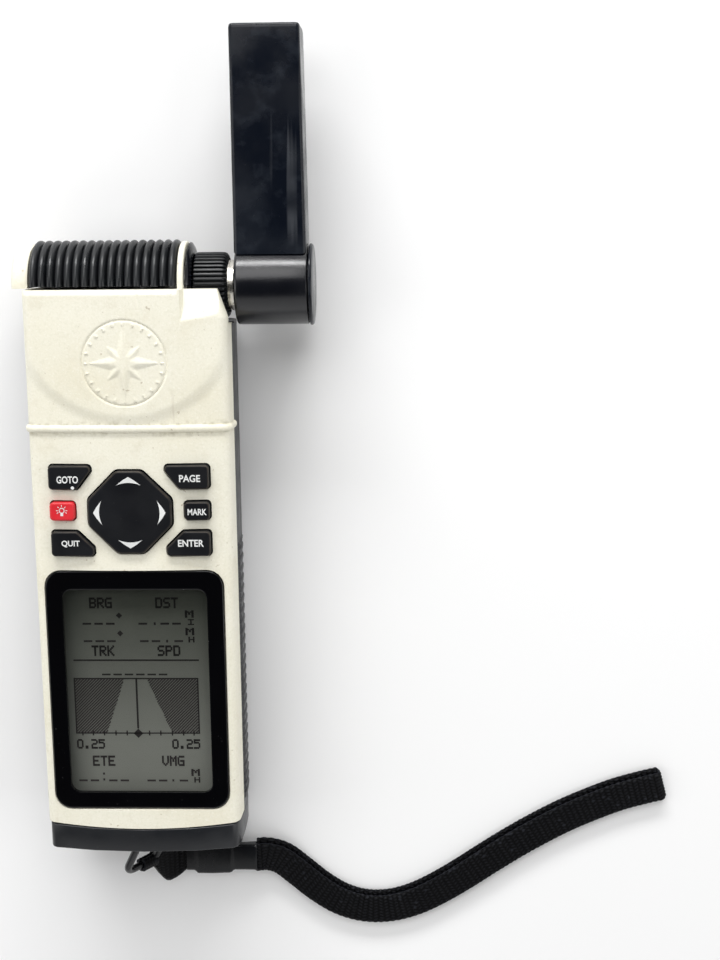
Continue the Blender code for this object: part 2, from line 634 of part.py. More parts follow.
# ---- battery door, latch and strap --------------------------------------------------------
def make_door():
    door = slab("battery_door", body_section(), -90, 80, "Y", BLACK)
    half = BODY_HALF_WIDTH + 2
    bottom = end_arc(DOOR_END_MID, DOOR_END_CORNER, half)
    top = end_arc(COVER_END_MID - GAP, COVER_END_CORNER - GAP, half)
    boolean(door, slab("door_plan", bottom + top[::-1], -2, 40), "INTERSECT")
    cut(door, slab("door_space", rounded_rect(-21.0, 21.0, 3.3, 24.4, 3.0), -76.0, -60, "Y"))
    tongue_out = rounded_rect(-21.0, 21.0, 3.3, 24.4, 2.6)
    tongue_in = rounded_rect(-20.0, 20.0, 4.2, 23.4, 1.8)
    tongue = slab("door_tongue", tongue_out, -77.0, -69.0, "Y", None, [tongue_in])
    joined(door, tongue)
    cut(door, cylinder("latch_way", (LATCH_X, 0, LATCH_Z), "Y", -90, -60, LATCH_SHAFT + 0.4, 20))
    for x in (-1, 1):
        corner = [(x * 23.2, -79.5), (x * 27.5, -79.5), (x * 27.5, -74.0)]
        cut(door, slab(f"door_corner_{x}", corner, -5, 45))
    gasket_out = rounded_rect(-22.4, 22.4, 2.45, 25.6, 3.2)
    gasket_in = rounded_rect(-21.4, 21.4, 3.05, 24.8, 2.8)
    gasket = slab("door_gasket", gasket_out, -70.8, -69.8, "Y", RUBBER, [gasket_in])
    plate = box("door_contact_plate", (-13.0, -75.6, 5.6), (13.0, -75.1, 12.8), NICKEL)
    return door, gasket, plate


def bail_frame():
    """The bail's own axes: along its pin, and from the pin to its far bar."""
    lean = Matrix.Rotation(math.radians(BAIL_LEAN_DEG), 3, "Y")
    pin = lean @ Vector((0, 0, 1))
    flip = Matrix.Rotation(math.radians(-BAIL_FLIP_DEG), 3, pin)
    return pin, flip @ Vector((0, -1, 0))


def make_latch():
    place = (LATCH_X, 0, LATCH_Z)
    profile = [(-82.2, 0), (-82.2, 2.4), (-81.6, 3.0), (-78.7, 3.0), (-78.7, LATCH_SHAFT)]
    profile += [(-62.6, LATCH_SHAFT), (-62.6, 0)]
    stud = turned("latch_stud", profile, place, "Y", 20, NICKEL)
    pin, out = bail_frame()
    centre = Vector((LATCH_X, BAIL_AXIS_Y, LATCH_Z))
    hole = wire("bail_way", [centre - pin * 6, centre + pin * 6], BAIL_WIRE + 0.3, 3)
    cut(stud, hole)
    round_r = 3.2
    flat = [(0.7, 0.0), (BAIL_HALF_WIDTH - 1.4, 0.0)]
    flat += arc((BAIL_HALF_WIDTH - 1.4, 1.4), 1.4, -60, 0, 2)
    flat += arc((BAIL_HALF_WIDTH - round_r, BAIL_LENGTH - round_r), round_r, 0, 90, 5)
    half = [centre + pin * a + out * b for a, b in flat]
    other = [centre - pin * a + out * b for a, b in reversed(flat)]
    bail = wire("latch_bail", half + other, BAIL_WIRE, 2, BLACK)
    axle = empty_on_axis("latch_axis", (LATCH_X, DOOR_END_MID, LATCH_Z), [stud])
    hinge = empty_on_axis("bail_axis", tuple(centre), [bail])
    return stud, bail, axle, hinge


def make_strap():
    strap = smooth_route(STRAP_ROUTE, 2)
    ribbon("wrist_strap", strap, STRAP_WIDTH, STRAP_THICK, WEBBING)
    loop = smooth_route(LOOP_ROUTE, 3)
    ribbon("strap_loop", loop, 8.2, 2.6, WEBBING, (Vector((0.6, -0.5, 0.6)), Vector((0, 0, 1))))
    low, high = KEEPER_X
    outline = []
    neck, wide = 3.8, 4.5
    box_x = (low + 3.2, high - 6.6)
    stations = [(low, neck), (box_x[0] - 0.6, neck), (box_x[0], wide), (box_x[1], wide)]
    for x, half in stations + [(box_x[1] + 0.6, neck), (high, neck)]:
        outline.append((x, KEEPER_Y - half))
    upper = [(x, 2 * KEEPER_Y - y) for x, y in reversed(outline)]
    keeper = slab("strap_keeper", outline + upper, KEEPER_Z - 1.9, KEEPER_Z + 1.9, "Z", VINYL)
    bevelled(keeper, 0.7)


# ---- antenna ------------------------------------------------------------------------------
def make_head_fittings():
    count = GRIP_RIBS
    pitch = (GRIP_X[1] - GRIP_X[0]) / count
    profile = [(GRIP_X[0], 9.2), (GRIP_X[0], 10.6)]
    for i in range(count):
        start = GRIP_X[0] + pitch * i
        profile += [(start + 0.25 * pitch, GRIP_RADIUS), (start + 0.75 * pitch, GRIP_RADIUS)]
        if i < count - 1:
            profile += [(start + pitch, 10.6)]
    profile += [(GRIP_X[1], 10.6), (GRIP_X[1], 9.2)]
    grip = turned("top_grip", profile, SOCKET, "X", 28, RUBBER)
    cut(grip, box("grip_inner_half", (-40, 40, -5), (40, BODY_TOP_Y + 0.8, 40)))
    disc = turned(
        "end_disc",
        [(-27.9, 0), (-27.9, 9.6), (-27.2, 10.5), (-23.9, 10.5), (-23.9, 0)], SOCKET, "X", 28, CREAM,
    )
    cut(disc, box("disc_inner", (-BODY_HALF_WIDTH - 0.4, 40, -5), (0, BODY_TOP_Y + 0.4, 40)))
    ring = [(14.8, 5.2), (14.8, 8.3), (16.3, 8.3), (16.3, 5.2)]
    flange = turned("jack_flange", ring, SOCKET, "X", 28, BLACK)
    wide_ring = [(14.8, 5.2), (14.8, 10.9), (15.8, 10.7), (16.3, 9.4), (16.3, 5.2)]
    wide_half = turned("flange_half", wide_ring, SOCKET)
    cut(wide_half, box("flange_half_below", (0, 40, -5), (40, BODY_TOP_Y + 0.9, 40)))
    joined(flange, wide_half)
    barrel = [(9.0, 0), (9.0, 4.8), (23.0, 4.8), (23.0, 3.7), (15.2, 3.7), (15.2, 0.8)]
    turned("antenna_jack", barrel + [(12.0, 0.8), (12.0, 0)], SOCKET, "X", 24, NICKEL)
    nut = slab("jack_nut", arc((AXIS_Y, AXIS_Z), 7.0, 0, 300, 5), 10.4, 12.3, "X", NICKEL)
    cut(nut, cylinder("jack_nut_bore", SOCKET, "X", 5, 15, 5.1))
    cylinder("jack_pin", SOCKET, "X", 12.3, 21.5, 0.45, 10, BRASS)
    cable = [(8.6, AXIS_Y, AXIS_Z), (7.3, AXIS_Y - 0.6, AXIS_Z), (6.1, AXIS_Y - 2.8, AXIS_Z)]
    cable += [(5.7, AXIS_Y - 5.6, 15.9), (4.6, AXIS_Y - 8.4, 16.4)]
    cable += [(2.8, AXIS_Y - 10.6, 17.2), (0.6, AXIS_Y - 12.2, 17.8)]
    wire("jack_cable", smooth_route(cable, 2), 1.0, 1, BLACK)


def make_plug():
    sleeve = [(18.6, 2.5), (18.6, 3.3), (23.6, 3.3), (23.6, 6.3), (26.2, 6.3), (26.2, 2.5)]
    plug = turned("plug_body", sleeve, SOCKET, "X", 24, NICKEL)
    teeth = 42
    outline = []
    for i in range(teeth):
        for share, radius in ((0.15, 8.2), (0.5, 8.2), (0.65, 7.75), (1.0, 7.75)):
            angle = 2 * math.pi * (i + share) / teeth
            outline.append((AXIS_Y + radius * math.cos(angle), AXIS_Z + radius * math.sin(angle)))
    collar = slab("lock_collar", outline, 16.7, 24.6, "X", RUBBER)
    cut(collar, cylinder("collar_bore", SOCKET, "X", 10, 23.2, 5.6))
    cut(collar, cylinder("collar_mouth", SOCKET, "X", 20, 30, 6.7))
    return [plug, collar]


def make_antenna():
    low, high = HUB_X
    profile = [(low, 2.6), (low, HUB_RADIUS), (high, HUB_RADIUS), (high, 7.6), (low + 2, 7.6), (low + 2, 2.6)]
    hub = turned("antenna_hub", profile, SOCKET, "X", 36, BLACK)
    cut(hub, box("hub_window", (low + 3, AXIS_Y + 5, 11.5), (high - 3, AXIS_Y + 15, 20.0)))
    cap_profile = [
        (42.2, 0), (42.2, 7.2), (high + 0.3, 7.2), (high + 0.3, 10.1), (high + 1.1, 10.1), (high + 1.5, 9.6),
        (high + 1.5, 0),
    ]
    cap = turned("hub_end_cap", cap_profile, SOCKET, "X", 36, BLACK)
    foot_y = AXIS_Y + math.sqrt(HUB_RADIUS ** 2 - (BLADE_Z[1] - AXIS_Z) ** 2) + 0.1
    outline = [(low + 0.1, AXIS_Y + 4), (high - 0.1, AXIS_Y + 4), (43.5, BLADE_END_Y), (low - 0.1, BLADE_END_Y)]
    blade = slab("antenna_blade", outline, BLADE_Z[0], BLADE_Z[1], "Z", BLACK)
    bevelled(blade, 0.7)
    cut(blade, cylinder("blade_foot", SOCKET, "X", 10, 60, HUB_RADIUS + GAP, 36))
    cut(blade, box("blade_space", (28.2, 60, 10.9), (41.9, BLADE_END_Y - 1.8, 20.6)))
    cut(blade, box("blade_back_way", (27.9, foot_y + 2.2, 0), (42.2, BLADE_END_Y - 1.5, 12.0)))
    near, far = foot_y + 2.5, BLADE_END_Y - 1.8
    back = [(28.2, near), (41.9, near), (41.9, far), (28.2, far)]
    cover = slab("blade_back_cover", back, BLADE_Z[0] + 0.1, BLADE_Z[0] + 1.3, "Z", BLACK)
    former_x = 35.05
    former = tube("helix_former", (former_x, 0, AXIS_Z), "Y", 82.0, 124.0, 2.4, 3.2, 16, INSULATOR)
    line = []
    for i in range(37):
        angle = math.radians(i * 30)
        line.append((former_x + 4.0 * math.cos(angle), 84.0 + i * 1.05, AXIS_Z + 4.0 * math.sin(angle)))
    helix = wire("antenna_helix", line, 0.4, 1, COPPER)
    route = [(29.2, AXIS_Y, AXIS_Z), (31.5, AXIS_Y + 0.6, AXIS_Z), (33.8, AXIS_Y + 3.4, AXIS_Z),
             (34.9, AXIS_Y + 8.0, AXIS_Z), (35.05, AXIS_Y + 14.6, AXIS_Z)]
    cable = wire("antenna_cable", smooth_route(route, 3), 1.0, 1, BLACK)
    return [hub, cap, blade, cover, former, helix, cable]


def main():
    make_front_cover()
    make_rear_case()
    for side, word in ((-1, "left"), (1, "right")):
        gasket_box(f"case_gasket_{word}", side, 0.0, RUBBER)
    for i, (x, y) in enumerate(SCREW_PLACES):
        make_case_screw(i + 1, x, y)
    slab("rear_label", rounded_rect(-15.0, 15.0, -55.0, -25.0, 1.3, 2), 0.3, 0.6, "Z", MASK)
    make_data_port()
    empty_on_axis("port_cap_axis", (*PORT_PLACE, 0), [make_port_cap()])
    for name, outline in key_plans(0.0).items():
        make_key(name, outline)
    make_rocker()
    make_display()
    make_electronics()
    make_cells()
    empty_on_axis("door_slide", (0, COVER_END_MID, AXIS_Z), list(make_door()))
    make_latch()
    make_strap()
    make_head_fittings()
    empty_on_axis("plug_axis", SOCKET, make_plug())
    empty_on_axis("antenna_axis", SOCKET, make_antenna())


main()
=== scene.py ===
"""A hand-held aviation GPS receiver with a swivelling antenna and a webbing wrist strap, lying on its back."""

import json
from math import atan2, copysign, cos, degrees, floor, hypot, pi, radians, sin, sqrt, tan

import bmesh
import bpy
from mathutils import Matrix, Vector

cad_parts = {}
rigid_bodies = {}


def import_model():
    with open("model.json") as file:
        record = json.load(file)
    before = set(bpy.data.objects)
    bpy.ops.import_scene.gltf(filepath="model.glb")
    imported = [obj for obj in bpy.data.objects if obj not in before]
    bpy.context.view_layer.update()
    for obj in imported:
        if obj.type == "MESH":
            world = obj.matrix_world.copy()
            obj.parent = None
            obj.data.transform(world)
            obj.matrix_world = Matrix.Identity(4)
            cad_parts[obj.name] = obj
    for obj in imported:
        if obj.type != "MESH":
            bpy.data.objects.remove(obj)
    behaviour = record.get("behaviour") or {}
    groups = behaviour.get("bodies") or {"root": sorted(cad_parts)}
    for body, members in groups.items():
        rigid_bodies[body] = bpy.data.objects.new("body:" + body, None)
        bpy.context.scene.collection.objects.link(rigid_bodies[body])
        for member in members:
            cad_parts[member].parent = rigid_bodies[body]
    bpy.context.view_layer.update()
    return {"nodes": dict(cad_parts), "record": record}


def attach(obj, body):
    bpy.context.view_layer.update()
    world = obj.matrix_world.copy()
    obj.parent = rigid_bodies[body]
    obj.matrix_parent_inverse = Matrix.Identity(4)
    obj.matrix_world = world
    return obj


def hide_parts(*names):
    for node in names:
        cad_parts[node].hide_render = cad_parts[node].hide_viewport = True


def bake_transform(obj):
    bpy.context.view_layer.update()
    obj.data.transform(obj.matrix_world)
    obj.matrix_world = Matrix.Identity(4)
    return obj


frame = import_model()

MM = 0.001
NODES = frame["nodes"]
BODY_OF = {node: body for body, nodes in frame["record"]["behaviour"]["bodies"].items() for node in nodes}
SLOT_OF = {part["node"]: part["material_slot"] for part in frame["record"]["subparts"]}

# ---- dimensions in millimetres, as the CAD has them
HALF_WIDTH = 25.3
TOP_Y = 66.2
END_MID, END_CORNER = -71.9, -70.5
PART_Z, HEAD_Z, HEAD_Y = 21.0, 16.0, 57.5
CROWN_Z, EDGE_Z = 30.1, 28.75
AXIS_Y, AXIS_Z = 66.6, 15.7
RIDGE_Y = 32.4
PLATEAU_Y, PLATEAU_R, PLATEAU_RISE = 62.7, 29.2, 0.6
ROSE_Y, ROSE_R = 48.6, 10.4
ROCKER_Y, ROCKER_HALF, ROCKER_FLAT = 11.7, 10.45, 3.4
LENS = (-22.45, 22.45, -66.6, -3.6)
WINDOW = (-18.3, 18.3, -62.3, -8.4)
KEYS = {
    "key_goto": (-20.1, -9.3, 17.3, 23.6, 3.7, 4.7),
    "key_page": (8.8, 20.0, 17.3, 23.6, 3.7, 4.7),
    "key_light": (-20.1, -13.6, 9.5, 14.4, 0.0, 0.0),
    "key_mark": (13.4, 20.0, 9.5, 14.4, 0.0, 0.0),
    "key_quit": (-20.1, -9.1, 0.4, 7.0, 4.3, 4.2),
    "key_enter": (8.8, 20.0, 0.4, 7.0, 4.3, 4.2),
}
KEY_TOP, ROCKER_TOP, LENS_TOP, LCD_TOP = 31.0, 31.2, 29.3, 26.74
HUB_R, BLADE_END, PORT_Y, STUD_Z = 9.8, 128.7, 42.0, 17.0
WEB_WIDTH, WEB_THICK = 8.2, 1.25   # one layer of the strap's webbing
FLOOR_Z = -0.15
PRINT_DEPTH, PRINT_RISE = 0.06, 0.01   # of the key legends, and how far they stand above the keys
AXIS = (0, AXIS_Y, AXIS_Z)         # the antenna's axis, along X
STRAP_ROUTE = [
    (26.2, -91.4, 3.4), (29.5, -91.5, 2.9), (33.5, -93.2, 2.0), (38.0, -97.0, 1.5),
    (43.5, -101.6, 1.5), (49.5, -105.4, 1.5), (56.0, -107.4, 1.5), (63.0, -107.4, 1.5),
    (70.0, -105.5, 1.5), (77.0, -102.0, 1.5), (84.0, -97.6, 1.5), (91.0, -92.8, 1.5),
    (98.0, -88.2, 1.5), (105.0, -84.0, 1.5), (112.0, -80.2, 1.5), (119.0, -77.0, 1.5),
    (126.0, -74.2, 1.5), (132.0, -72.4, 1.5), (137.5, -71.0, 1.5),
]
KEEPER_Y, KEEPER_Z = -91.6, 3.9
BAIL_CENTRE = Vector((0.0, -80.6, STUD_Z))
BAIL_PIN = Vector((-0.5736, 0.0, 0.8192))
BAIL_OUT = Vector((-0.4096, -0.8660, -0.2868))
BAIL_HALF, BAIL_LENGTH, BAIL_WIRE = 5.6, 10.6, 1.0


def added(name, data):
    """A new object in the scene."""
    made = bpy.data.objects.new(name, data)
    bpy.context.scene.collection.objects.link(made)
    return made


def taken(holder):
    """The finished mesh of a curve or of a mesh with modifiers, whose object is removed."""
    bpy.context.view_layer.update()
    mesh = bpy.data.meshes.new_from_object(holder.evaluated_get(bpy.context.evaluated_depsgraph_get()))
    bpy.data.objects.remove(holder)
    return mesh


# ---- camera
def make_camera():
    data = bpy.data.cameras.new("photo_camera")
    data.lens = 52.5
    data.sensor_width = 36.0
    data.clip_start = 0.01
    made = added("photo_camera", data)
    right = Vector((0.99945, -0.01026, -0.03160))
    up = Vector((0.00441, 0.98370, -0.17979))
    back = Vector((0.03293, 0.17955, 0.98320))
    turn = Matrix((right, up, back)).transposed().to_4x4()
    made.matrix_world = Matrix.Translation((0.06836, 0.08116, 0.3678)) @ turn
    bpy.context.scene.camera = made


make_camera()


# ---- materials
class Look:
    """One procedural material: a Principled shader with noise in its colour, roughness and bump."""

    def __init__(self, name, colour, roughness, metallic=0.0, specular=0.5, alpha=1.0):
        self.material = bpy.data.materials.new(name)
        self.material.use_nodes = True
        self.nodes = self.material.node_tree.nodes
        self.links = self.material.node_tree.links
        self.shader = self.nodes["Principled BSDF"]
        self.last_colour = (*colour, 1.0)
        self.last_normal = None
        self.feed(self.shader, Base_Color=self.last_colour, Roughness=roughness, Metallic=metallic,
                  Specular_IOR_Level=specular, Alpha=alpha)
        self.place = self.node("TexCoord").outputs["Object"]
        self.material.diffuse_color = self.last_colour

    def feed(self, node, **inputs):
        """Sets a node's inputs to numbers, or links them to other nodes' outputs."""
        for name, value in inputs.items():
            socket = node.inputs[name.replace("_", " ")]
            if isinstance(value, bpy.types.NodeSocket):
                self.links.new(value, socket)
            else:
                socket.default_value = value

    def node(self, kind, **inputs):
        made = self.nodes.new("ShaderNode" + kind)
        self.feed(made, **inputs)
        return made

    def along(self, axis, vector=None):
        return self.node("SeparateXYZ", Vector=vector or self.place).outputs[axis]

    def stretched(self, scale, turn):
        return self.node("Mapping", Scale=scale, Rotation=(0, 0, turn), Vector=self.place).outputs["Vector"]

    def noise(self, scale, detail=2.0, low=0.0, high=1.0, place=None):
        """Noise with its values from low to high spread over 0 to 1."""
        made = self.node("TexNoise", Scale=scale, Detail=detail, Roughness=0.5, Vector=place or self.place)
        return self.spread(made.outputs["Fac"], low, high)

    def spread(self, value, low, high, new_low=0.0, new_high=1.0):
        made = self.node("MapRange", From_Min=low, From_Max=high, To_Min=new_low, To_Max=new_high, Value=value)
        return made.outputs["Result"]

    def times(self, a, b):
        made = self.node("Math")
        made.operation = "MULTIPLY"
        self.links.new(a, made.inputs[0])
        if isinstance(b, float):
            made.inputs[1].default_value = b
        else:
            self.links.new(b, made.inputs[1])
        return made.outputs[0]

    def tint(self, amount, colour, share):
        """Mixes colour in, by share where amount is 1."""
        made = self.node("Mix")
        made.data_type = "RGBA"
        factor, first, second = made.inputs[0], made.inputs[6], made.inputs[7]
        self.links.new(self.times(amount, float(share)), factor)
        if isinstance(self.last_colour, tuple):
            first.default_value = self.last_colour
        else:
            self.links.new(self.last_colour, first)
        second.default_value = (*colour, 1.0)
        self.last_colour = made.outputs[2]
        self.feed(self.shader, Base_Color=self.last_colour)

    def rough(self, amount, low, high):
        self.feed(self.shader, Roughness=self.spread(amount, 0.0, 1.0, low, high))

    def bump(self, height, depth_mm, strength=1.0):
        made = self.node("Bump", Strength=strength, Distance=depth_mm * MM, Height=height)
        if self.last_normal:
            self.feed(made, Normal=self.last_normal)
        self.last_normal = made.outputs["Normal"]
        self.feed(self.shader, Normal=self.last_normal)

    def worn(self, colour, share):
        """Lightens the rounded edges of a form that lies flat: where it is neither level nor upright."""
        level = self.along("Z", self.node("TexCoord").outputs["Normal"])
        rounding = self.times(self.spread(level, 0.985, 0.80), self.spread(level, 0.15, 0.5))
        self.tint(self.times(rounding, self.noise(500, 4, 0.25, 0.6)), colour, share)


def scratches(look, scale, colour, turn=0.4):
    """Fine hairlines: noise stretched along one direction, in patches."""
    lines = look.noise(scale, 2, 0.66, 0.72, look.stretched((1.0, 0.03, 0.4), turn))
    look.tint(look.times(lines, look.noise(60, 2, 0.5, 0.65)), colour, 0.5)


def make_cream():
    look = Look("cream_plastic", (0.80, 0.775, 0.655), 0.5)
    look.tint(look.noise(38, 5, 0.48, 0.74), (0.70, 0.645, 0.47), 0.45)
    look.tint(look.noise(230, 7, 0.56, 0.76), (0.62, 0.57, 0.43), 0.35)
    look.tint(look.noise(700, 2, 0.72, 0.76), (0.30, 0.22, 0.12), 0.55)
    look.tint(look.noise(1900, 1, 0.55, 0.75), (0.90, 0.88, 0.80), 0.35)
    look.tint(look.noise(1500, 4, 0.50, 0.66), (0.66, 0.64, 0.50), 0.30)
    scratches(look, 420, (0.58, 0.53, 0.42))
    length = look.along("Y")
    for low, middle, high in ((0.0302, 0.0313, 0.0320), (0.0327, 0.0334, 0.0348)):   # painted shade in the creases on both sides of the ridge, in patches
        band = look.times(look.spread(length, low, middle), look.spread(length, high, middle))
        look.tint(look.times(band, look.noise(600, 5, 0.46, 0.66)), (0.34, 0.30, 0.19), 0.5)
    look.rough(look.noise(90, 4, 0.35, 0.7), 0.42, 0.60)
    look.bump(look.noise(2600, 3), 0.035)
    look.bump(look.noise(160, 2), 0.05, 0.5)
    return look.material


def make_black(name, colour, rough, grain=0.02, haze=(0.05, 0.055, 0.06), haze_share=0.5, dust=0.35,
               spread=0.1, specular=0.5, edges=None):
    look = Look(name, colour, rough, specular=specular)
    look.tint(look.noise(70, 5, 0.45, 0.72), haze, haze_share)
    look.tint(look.noise(2100, 2, 0.765, 0.80), (0.30, 0.30, 0.29), dust)
    look.rough(look.noise(120, 5, 0.35, 0.68), rough - 0.7 * spread, rough + spread)
    look.bump(look.noise(2400, 3), grain)
    if edges:
        look.worn(edges, 0.5)
    return look.material


def make_lcd():
    look = Look("lcd_glass", (0.034, 0.038, 0.030), 0.40, specular=0.15)
    # painted light and shade: the screen is dark at the top and painted lighter towards the bottom
    look.tint(look.spread(look.along("Y"), -0.012, -0.050), (0.160, 0.166, 0.147), 0.97)
    # painted shade: darker towards the left side of the screen
    look.tint(look.spread(look.along("X"), -0.012, -0.0185), (0.026, 0.030, 0.026), 0.5)
    look.tint(look.noise(70, 3, 0.45, 0.7), (0.105, 0.110, 0.095), 0.15)
    look.bump(look.noise(900, 2), 0.004)
    return look.material


def make_pixel_look(name, top, bottom):
    look = Look(name, top, 0.4, specular=0.15)
    # painted light and shade: the segments are dark at the top and lighter towards the bottom, as the screen
    # is
    look.tint(look.spread(look.along("Y"), -0.012, -0.050), bottom, 1.0)
    look.tint(look.noise(2400, 2, 0.4, 0.7), tuple(c * 1.5 for c in bottom), 0.25)
    return look.material


def make_webbing():
    look = Look("woven_webbing", (0.0008, 0.0008, 0.0012), 0.46, specular=0.10)
    # painted highlight: the crests of the weave, found by pointiness, are lighter in colour to stand for their
    # glints
    crest_painted_highlight = look.spread(look.node("NewGeometry").outputs["Pointiness"], 0.505, 0.58)
    look.tint(crest_painted_highlight, (0.014, 0.015, 0.019), 0.9)
    look.tint(look.noise(5200, 1, 0.68, 0.74), (0.07, 0.07, 0.075), 0.3)
    look.bump(look.noise(4200, 2, place=look.stretched((1.0, 1.0, 0.5), 0.8)), 0.06)
    return look.material


def make_metal(name, colour, rough):
    look = Look(name, colour, rough, 1.0)
    look.tint(look.noise(420, 4, 0.5, 0.72), tuple(c * 0.6 for c in colour), 0.5)
    look.rough(look.noise(500, 4, 0.35, 0.7), rough - 0.05, rough + 0.16)
    look.bump(look.noise(1800, 2), 0.008)
    return look.material


def make_plain(name, colour, rough, grain=0.01):
    look = Look(name, colour, rough)
    look.tint(look.noise(180, 4, 0.45, 0.7), tuple(c * 0.75 for c in colour), 0.5)
    look.rough(look.noise(200, 3, 0.35, 0.7), max(0.05, rough - 0.08), rough + 0.08)
    look.bump(look.noise(2000, 2), grain)
    return look.material


def make_blade_look():
    look = Look("blade_plastic", (0.0030, 0.0045, 0.0085), 0.24, specular=0.28)
    look.tint(look.noise(48, 6, 0.50, 0.74), (0.013, 0.016, 0.022), 0.75)
    look.tint(look.noise(210, 8, 0.54, 0.75), (0.026, 0.031, 0.040), 0.45)
    look.tint(look.noise(2200, 2, 0.76, 0.80), (0.20, 0.21, 0.22), 0.3)
    scratches(look, 300, (0.075, 0.08, 0.09), 0.15)
    look.rough(look.noise(95, 6, 0.38, 0.66), 0.15, 0.34)
    look.bump(look.noise(2200, 2), 0.006)
    return look.material


CREAM = make_cream()
SATIN = make_black("satin_black_plastic", (0.008, 0.009, 0.011), 0.34, haze=(0.018, 0.020, 0.023))
CASE = make_black("case_black_plastic", (0.014, 0.015, 0.017), 0.42, 0.03, haze=(0.032, 0.034, 0.037))
KEY = make_black("key_rubber", (0.0058, 0.0063, 0.0080), 0.40, 0.015, (0.013, 0.014, 0.017), 0.4,
                 specular=0.22, edges=(0.075, 0.058, 0.040))
GRIP = make_black("grip_rubber", (0.007, 0.008, 0.0095), 0.33, 0.02, (0.020, 0.022, 0.025), specular=0.42)
HUB = make_black("hub_black_plastic", (0.0016, 0.0021, 0.0044), 0.24, 0.02, (0.004, 0.005, 0.008),
                 dust=0.2, spread=0.04, specular=0.62)
MAT = make_black("moulded_rubber", (0.020, 0.020, 0.022), 0.70, 0.02)
BLADE = make_blade_look()
GLOSS = make_black("lens_black", (0.0007, 0.0007, 0.0012), 0.09, 0.0, (0.0012, 0.0012, 0.0020),
                   dust=0.5, spread=0.03, specular=0.35)
VINYL = make_black("vinyl", (0.004, 0.0045, 0.0056), 0.24, 0.02, (0.010, 0.011, 0.014), specular=0.40)
RED = make_plain("red_rubber", (0.66, 0.020, 0.030), 0.42, 0.015)
LEGEND = make_plain("legend_white", (0.74, 0.75, 0.74), 0.5, 0.004)
PIXEL = make_pixel_look("lcd_pixel", (0.0030, 0.0035, 0.0028), (0.020, 0.018, 0.018))
FAINT = make_pixel_look("lcd_faint", (0.0050, 0.0055, 0.0046), (0.031, 0.027, 0.027))
LCD = make_lcd()
WEB = make_webbing()
NICKEL = make_metal("nickel_plate", (0.78, 0.75, 0.69), 0.20)
GOLD = make_metal("gold_plate", (0.85, 0.62, 0.25), 0.22)
COPPER = make_metal("copper_wire", (0.75, 0.36, 0.20), 0.28)
TIN = make_metal("tinned_steel", (0.56, 0.56, 0.55), 0.32)
WHITE = make_plain("white_plastic", (0.76, 0.77, 0.74), 0.55)
BOARD = make_plain("solder_mask", (0.02, 0.13, 0.05), 0.40)
CHIP = make_plain("chip_epoxy", (0.014, 0.014, 0.016), 0.55)
CELL = make_plain("cell_sleeve", (0.10, 0.11, 0.14), 0.28)
LABEL = make_plain("label_foil", (0.34, 0.35, 0.36), 0.35)
CLEAR = Look("clear_window", (0.02, 0.02, 0.02), 0.04, alpha=0.05, specular=0.35).material

NODE_LOOK = {
    "cream_plastic": CREAM, "black_plastic": CASE, "gloss_black": CHIP, "black_rubber": MAT, "red_rubber": RED,
    "nickel": TIN, "gold_contact": GOLD, "copper_wire": COPPER, "clear_lens": CLEAR, "lcd": LCD,
    "white_plastic": WHITE, "circuit_board": BOARD, "cell_sleeve": CELL, "webbing": WEB, "vinyl": VINYL,
}
for node_name, node in NODES.items():
    node.data.materials.clear()
    node.data.materials.append(NODE_LOOK[SLOT_OF[node_name]])


# ---- mesh helpers
def smooth(t):
    t = min(1.0, max(0.0, t))
    return t * t * (3 - 2 * t)


def arc(u, v, radius, start, end, steps):
    angles = [radians(start + (end - start) * i / steps) for i in range(steps + 1)]
    return [(u + radius * cos(a), v + radius * sin(a)) for a in angles]


def rounded_rect(low_u, high_u, low_v, high_v, radius, steps=6):
    centres = bar(low_u + radius, high_u - radius, low_v + radius, high_v - radius)
    points = []
    for (u, v), start in zip(centres[1:] + centres[:1], (-90, 0, 90, 180)):
        points += arc(u, v, radius, start, start + 90, steps)
    return points


def bar(x0, x1, y0, y1):
    return [(x0, y0), (x1, y0), (x1, y1), (x0, y1)]


def grown(box, amount):
    """A box of low and high u, low and high v, made larger all round."""
    return box[0] - amount, box[1] + amount, box[2] - amount, box[3] + amount


def level(outline, z):
    return [(u, v, z) for u, v in outline]


def rounded(corners, radius, steps=5):
    """A convex outline, counterclockwise, with each corner rounded."""
    points = []
    for i, corner in enumerate(corners):
        here = Vector(corner)
        before = (Vector(corners[i - 1]) - here).normalized()
        after = (Vector(corners[(i + 1) % len(corners)]) - here).normalized()
        half = before.angle(after) / 2
        reach = radius / tan(half)
        centre = here + (before + after).normalized() * (radius / sin(half))
        first, last = here + before * reach - centre, here + after * reach - centre
        for k in range(steps + 1):
            t = k / steps
            points.append(tuple(centre + (first.lerp(last, t)).normalized() * radius))
    return points


def inset(outline, amount):
    """A convex outline moved in by amount."""
    count, moved = len(outline), []
    for i, (u, v) in enumerate(outline):
        ahead = Vector(outline[(i + 1) % count]) - Vector(outline[i - 1])
        across = Vector((-ahead.y, ahead.x)).normalized()
        moved.append((u + across.x * amount, v + across.y * amount))
    return moved


def catmull(points, per_span):
    route = [Vector(p) for p in points]
    padded = [2 * route[0] - route[1]] + route + [2 * route[-1] - route[-2]]
    line = []
    for a, b, c, d in zip(padded, padded[1:], padded[2:], padded[3:]):
        for i in range(per_span):
            t = i / per_span
            line.append(0.5 * (2 * b + (c - a) * t + (2 * a - 5 * b + 4 * c - d) * t * t
                               + (3 * b - a - 3 * c + d) * t * t * t))
    return line + [route[-1]]


def travels(line):
    """How far along a line each of its points is."""
    sums = [0.0]
    for a, b in zip(line, line[1:]):
        sums.append(sums[-1] + (b - a).length)
    return sums


def heading(line, i):
    """The way along a line of points at point i."""
    return (line[min(i + 1, len(line) - 1)] - line[max(i - 1, 0)]).normalized()


